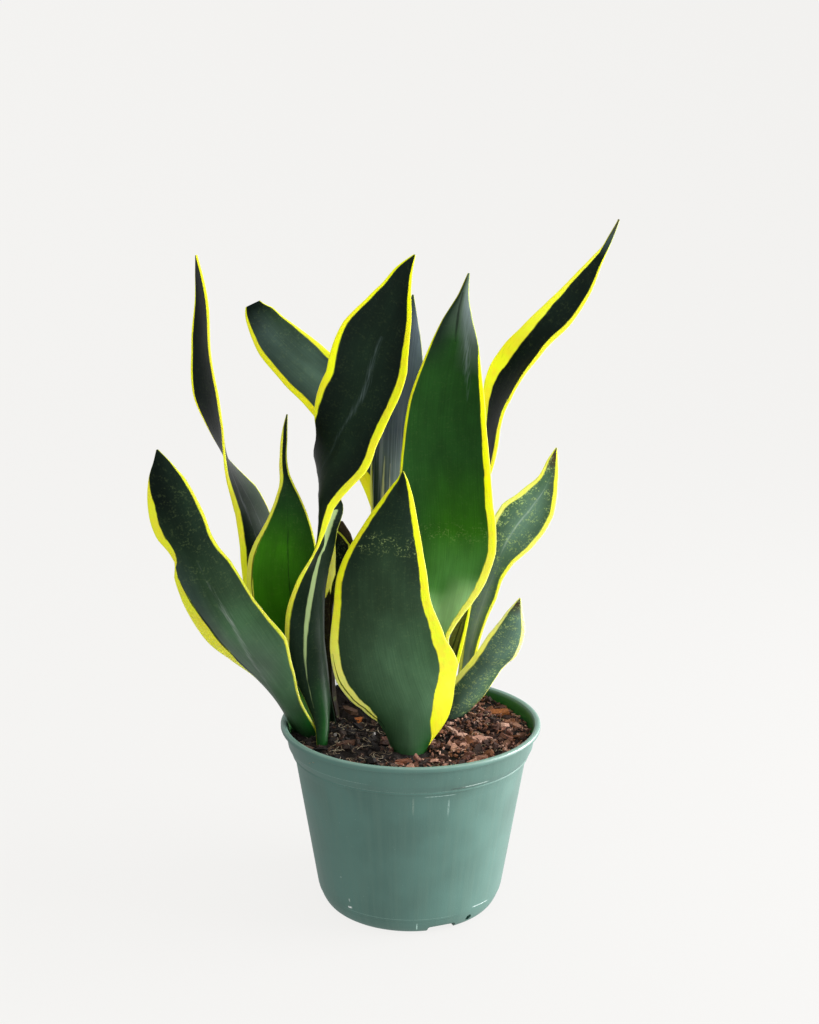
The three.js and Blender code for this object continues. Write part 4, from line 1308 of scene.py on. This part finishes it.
def make_mix(material):
    draw = random.Random(MIX_SEED)
    feet = leaf_feet()
    heap = Heap()
    heap.add(*soil_bed(), SOIL_TINT_AND_GAP_SHADE)
    for x, y, length, width, turn, tint in PLACED_CHIPS:
        shape = chip(draw, length, width, PLACED_CHIP["height"], PLACED_CHIP["corners"])
        drop(heap, draw, shape, x, y, PLACED_CHIP["sink"], PLACED_CHIP["tilt"], tint, turn)
    for kind in STREWN:
        strew(heap, draw, feet, kind)
    add_fibres(heap, draw, feet)
    for _ in range(SPECKS["count"]):
        x, y = spot(draw, feet, SPECKS["room"], lambda x: 1)
        drop(heap, draw, chip(draw, *SPECKS["size"]), x, y, SPECKS["sink"], SPECKS["tilt"], SPECK_TINT)
    mix = new_object("bark_mix", heap.points, heap.faces, material, smooth=False)
    give(mix.data, "tint", "FLOAT_COLOR", heap.tints)
    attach(mix, "root")
    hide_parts("potting_mix")


# ---- Stage, light and camera ----


def make_stage():
    """A pale floor that curves up into a round wall; most of its brightness is its own."""
    s = Shader("studio_white", 0.0)
    s.paint("Base Color", (0.05, 0.05, 0.05, 1))
    s.paint("Roughness", 1.0)
    s.paint("Emission Color", linear(FLOOR_COLOUR))
    s.paint("Emission Strength", FLOOR_GLOW)
    flat, curve, level = FLOOR["rings"][-1], FLOOR["curve"], FLOOR["level"]
    profile = [(radius, level) for radius in FLOOR["rings"]]
    for k in range(1, FLOOR["steps"] + 1):
        turn = 0.5 * math.pi * k / FLOOR["steps"]
        profile.append((flat + curve * math.sin(turn), curve * (1 - math.cos(turn)) + level))
    profile.append((flat + curve, FLOOR["top"]))
    points, faces = turned(profile, FLOOR["sides"])
    stage = new_object("studio_floor", points, faces[:-1], s.material)
    stage.visible_diffuse = False
    stage.visible_glossy = False


def make_world():
    """Soft surrounding light, brighter from the right and from above."""
    world = bpy.data.worlds.new("studio_light")
    world.use_nodes = True
    nodes, links = world.node_tree.nodes, world.node_tree.links
    where = nodes.new("ShaderNodeTexCoord")
    slope = nodes.new("ShaderNodeVectorMath")
    slope.operation = "DOT_PRODUCT"
    slope.inputs[1].default_value = SKY["towards"]
    links.new(where.outputs["Generated"], slope.inputs[0])
    ramp = nodes.new("ShaderNodeMapRange")
    for socket, number in zip(ramp.inputs[1:5], (-1.0, 1.0, SKY["dim"], SKY["bright"])):
        socket.default_value = number
    links.new(slope.outputs["Value"], ramp.inputs[0])
    links.new(ramp.outputs["Result"], nodes["Background"].inputs["Strength"])
    nodes["Background"].inputs["Color"].default_value = (1, 1, 1, 1)
    bpy.context.scene.world = world


def make_lamp(name, place, aim, size, power, diffuse):
    light = bpy.data.lights.new(name, "AREA")
    light.shape = "SQUARE"
    light.size = size
    light.energy = power
    lamp = bpy.data.objects.new(name, light)
    lamp.location = place
    lamp.rotation_euler = (Vector(aim) - Vector(place)).to_track_quat("-Z", "Y").to_euler()
    lamp.visible_diffuse = diffuse
    bpy.context.scene.collection.objects.link(lamp)


def make_camera():
    """The photograph's viewpoint: a little above the rim, looking slightly down."""
    pitch, roll, yaw = (math.radians(CAMERA[name]) for name in ("pitch", "roll", "yaw"))
    forward = Vector((math.sin(yaw) * math.cos(pitch), math.cos(yaw) * math.cos(pitch), -math.sin(pitch)))
    level = Vector((math.cos(yaw), -math.sin(yaw), 0))
    upright = level.cross(forward)
    right = level * math.cos(roll) + upright * math.sin(roll)
    up = upright * math.cos(roll) - level * math.sin(roll)
    data = bpy.data.cameras.new("camera")
    data.sensor_width = SENSOR_WIDTH
    data.lens = LENS
    camera = bpy.data.objects.new("camera", data)
    rows = [(right[k], up[k], -forward[k], CAMERA["place"][k]) for k in range(3)]
    camera.matrix_world = Matrix(rows + [(0, 0, 0, 1)])
    bpy.context.scene.collection.objects.link(camera)
    bpy.context.scene.camera = camera


leaf_surface = leaf_material()
for number, (leaf_name, leaf_rows) in enumerate(LEAVES.items()):
    make_leaf(leaf_name, leaf_rows, SEED_STEP * number, leaf_surface)
make_pot(pot_material())
make_mix(bark_material())
make_stage()
make_world()
for lamp_name, settings in LAMPS.items():
    make_lamp(lamp_name, **settings)
make_camera()
bpy.context.scene.view_settings.view_transform = "Standard"
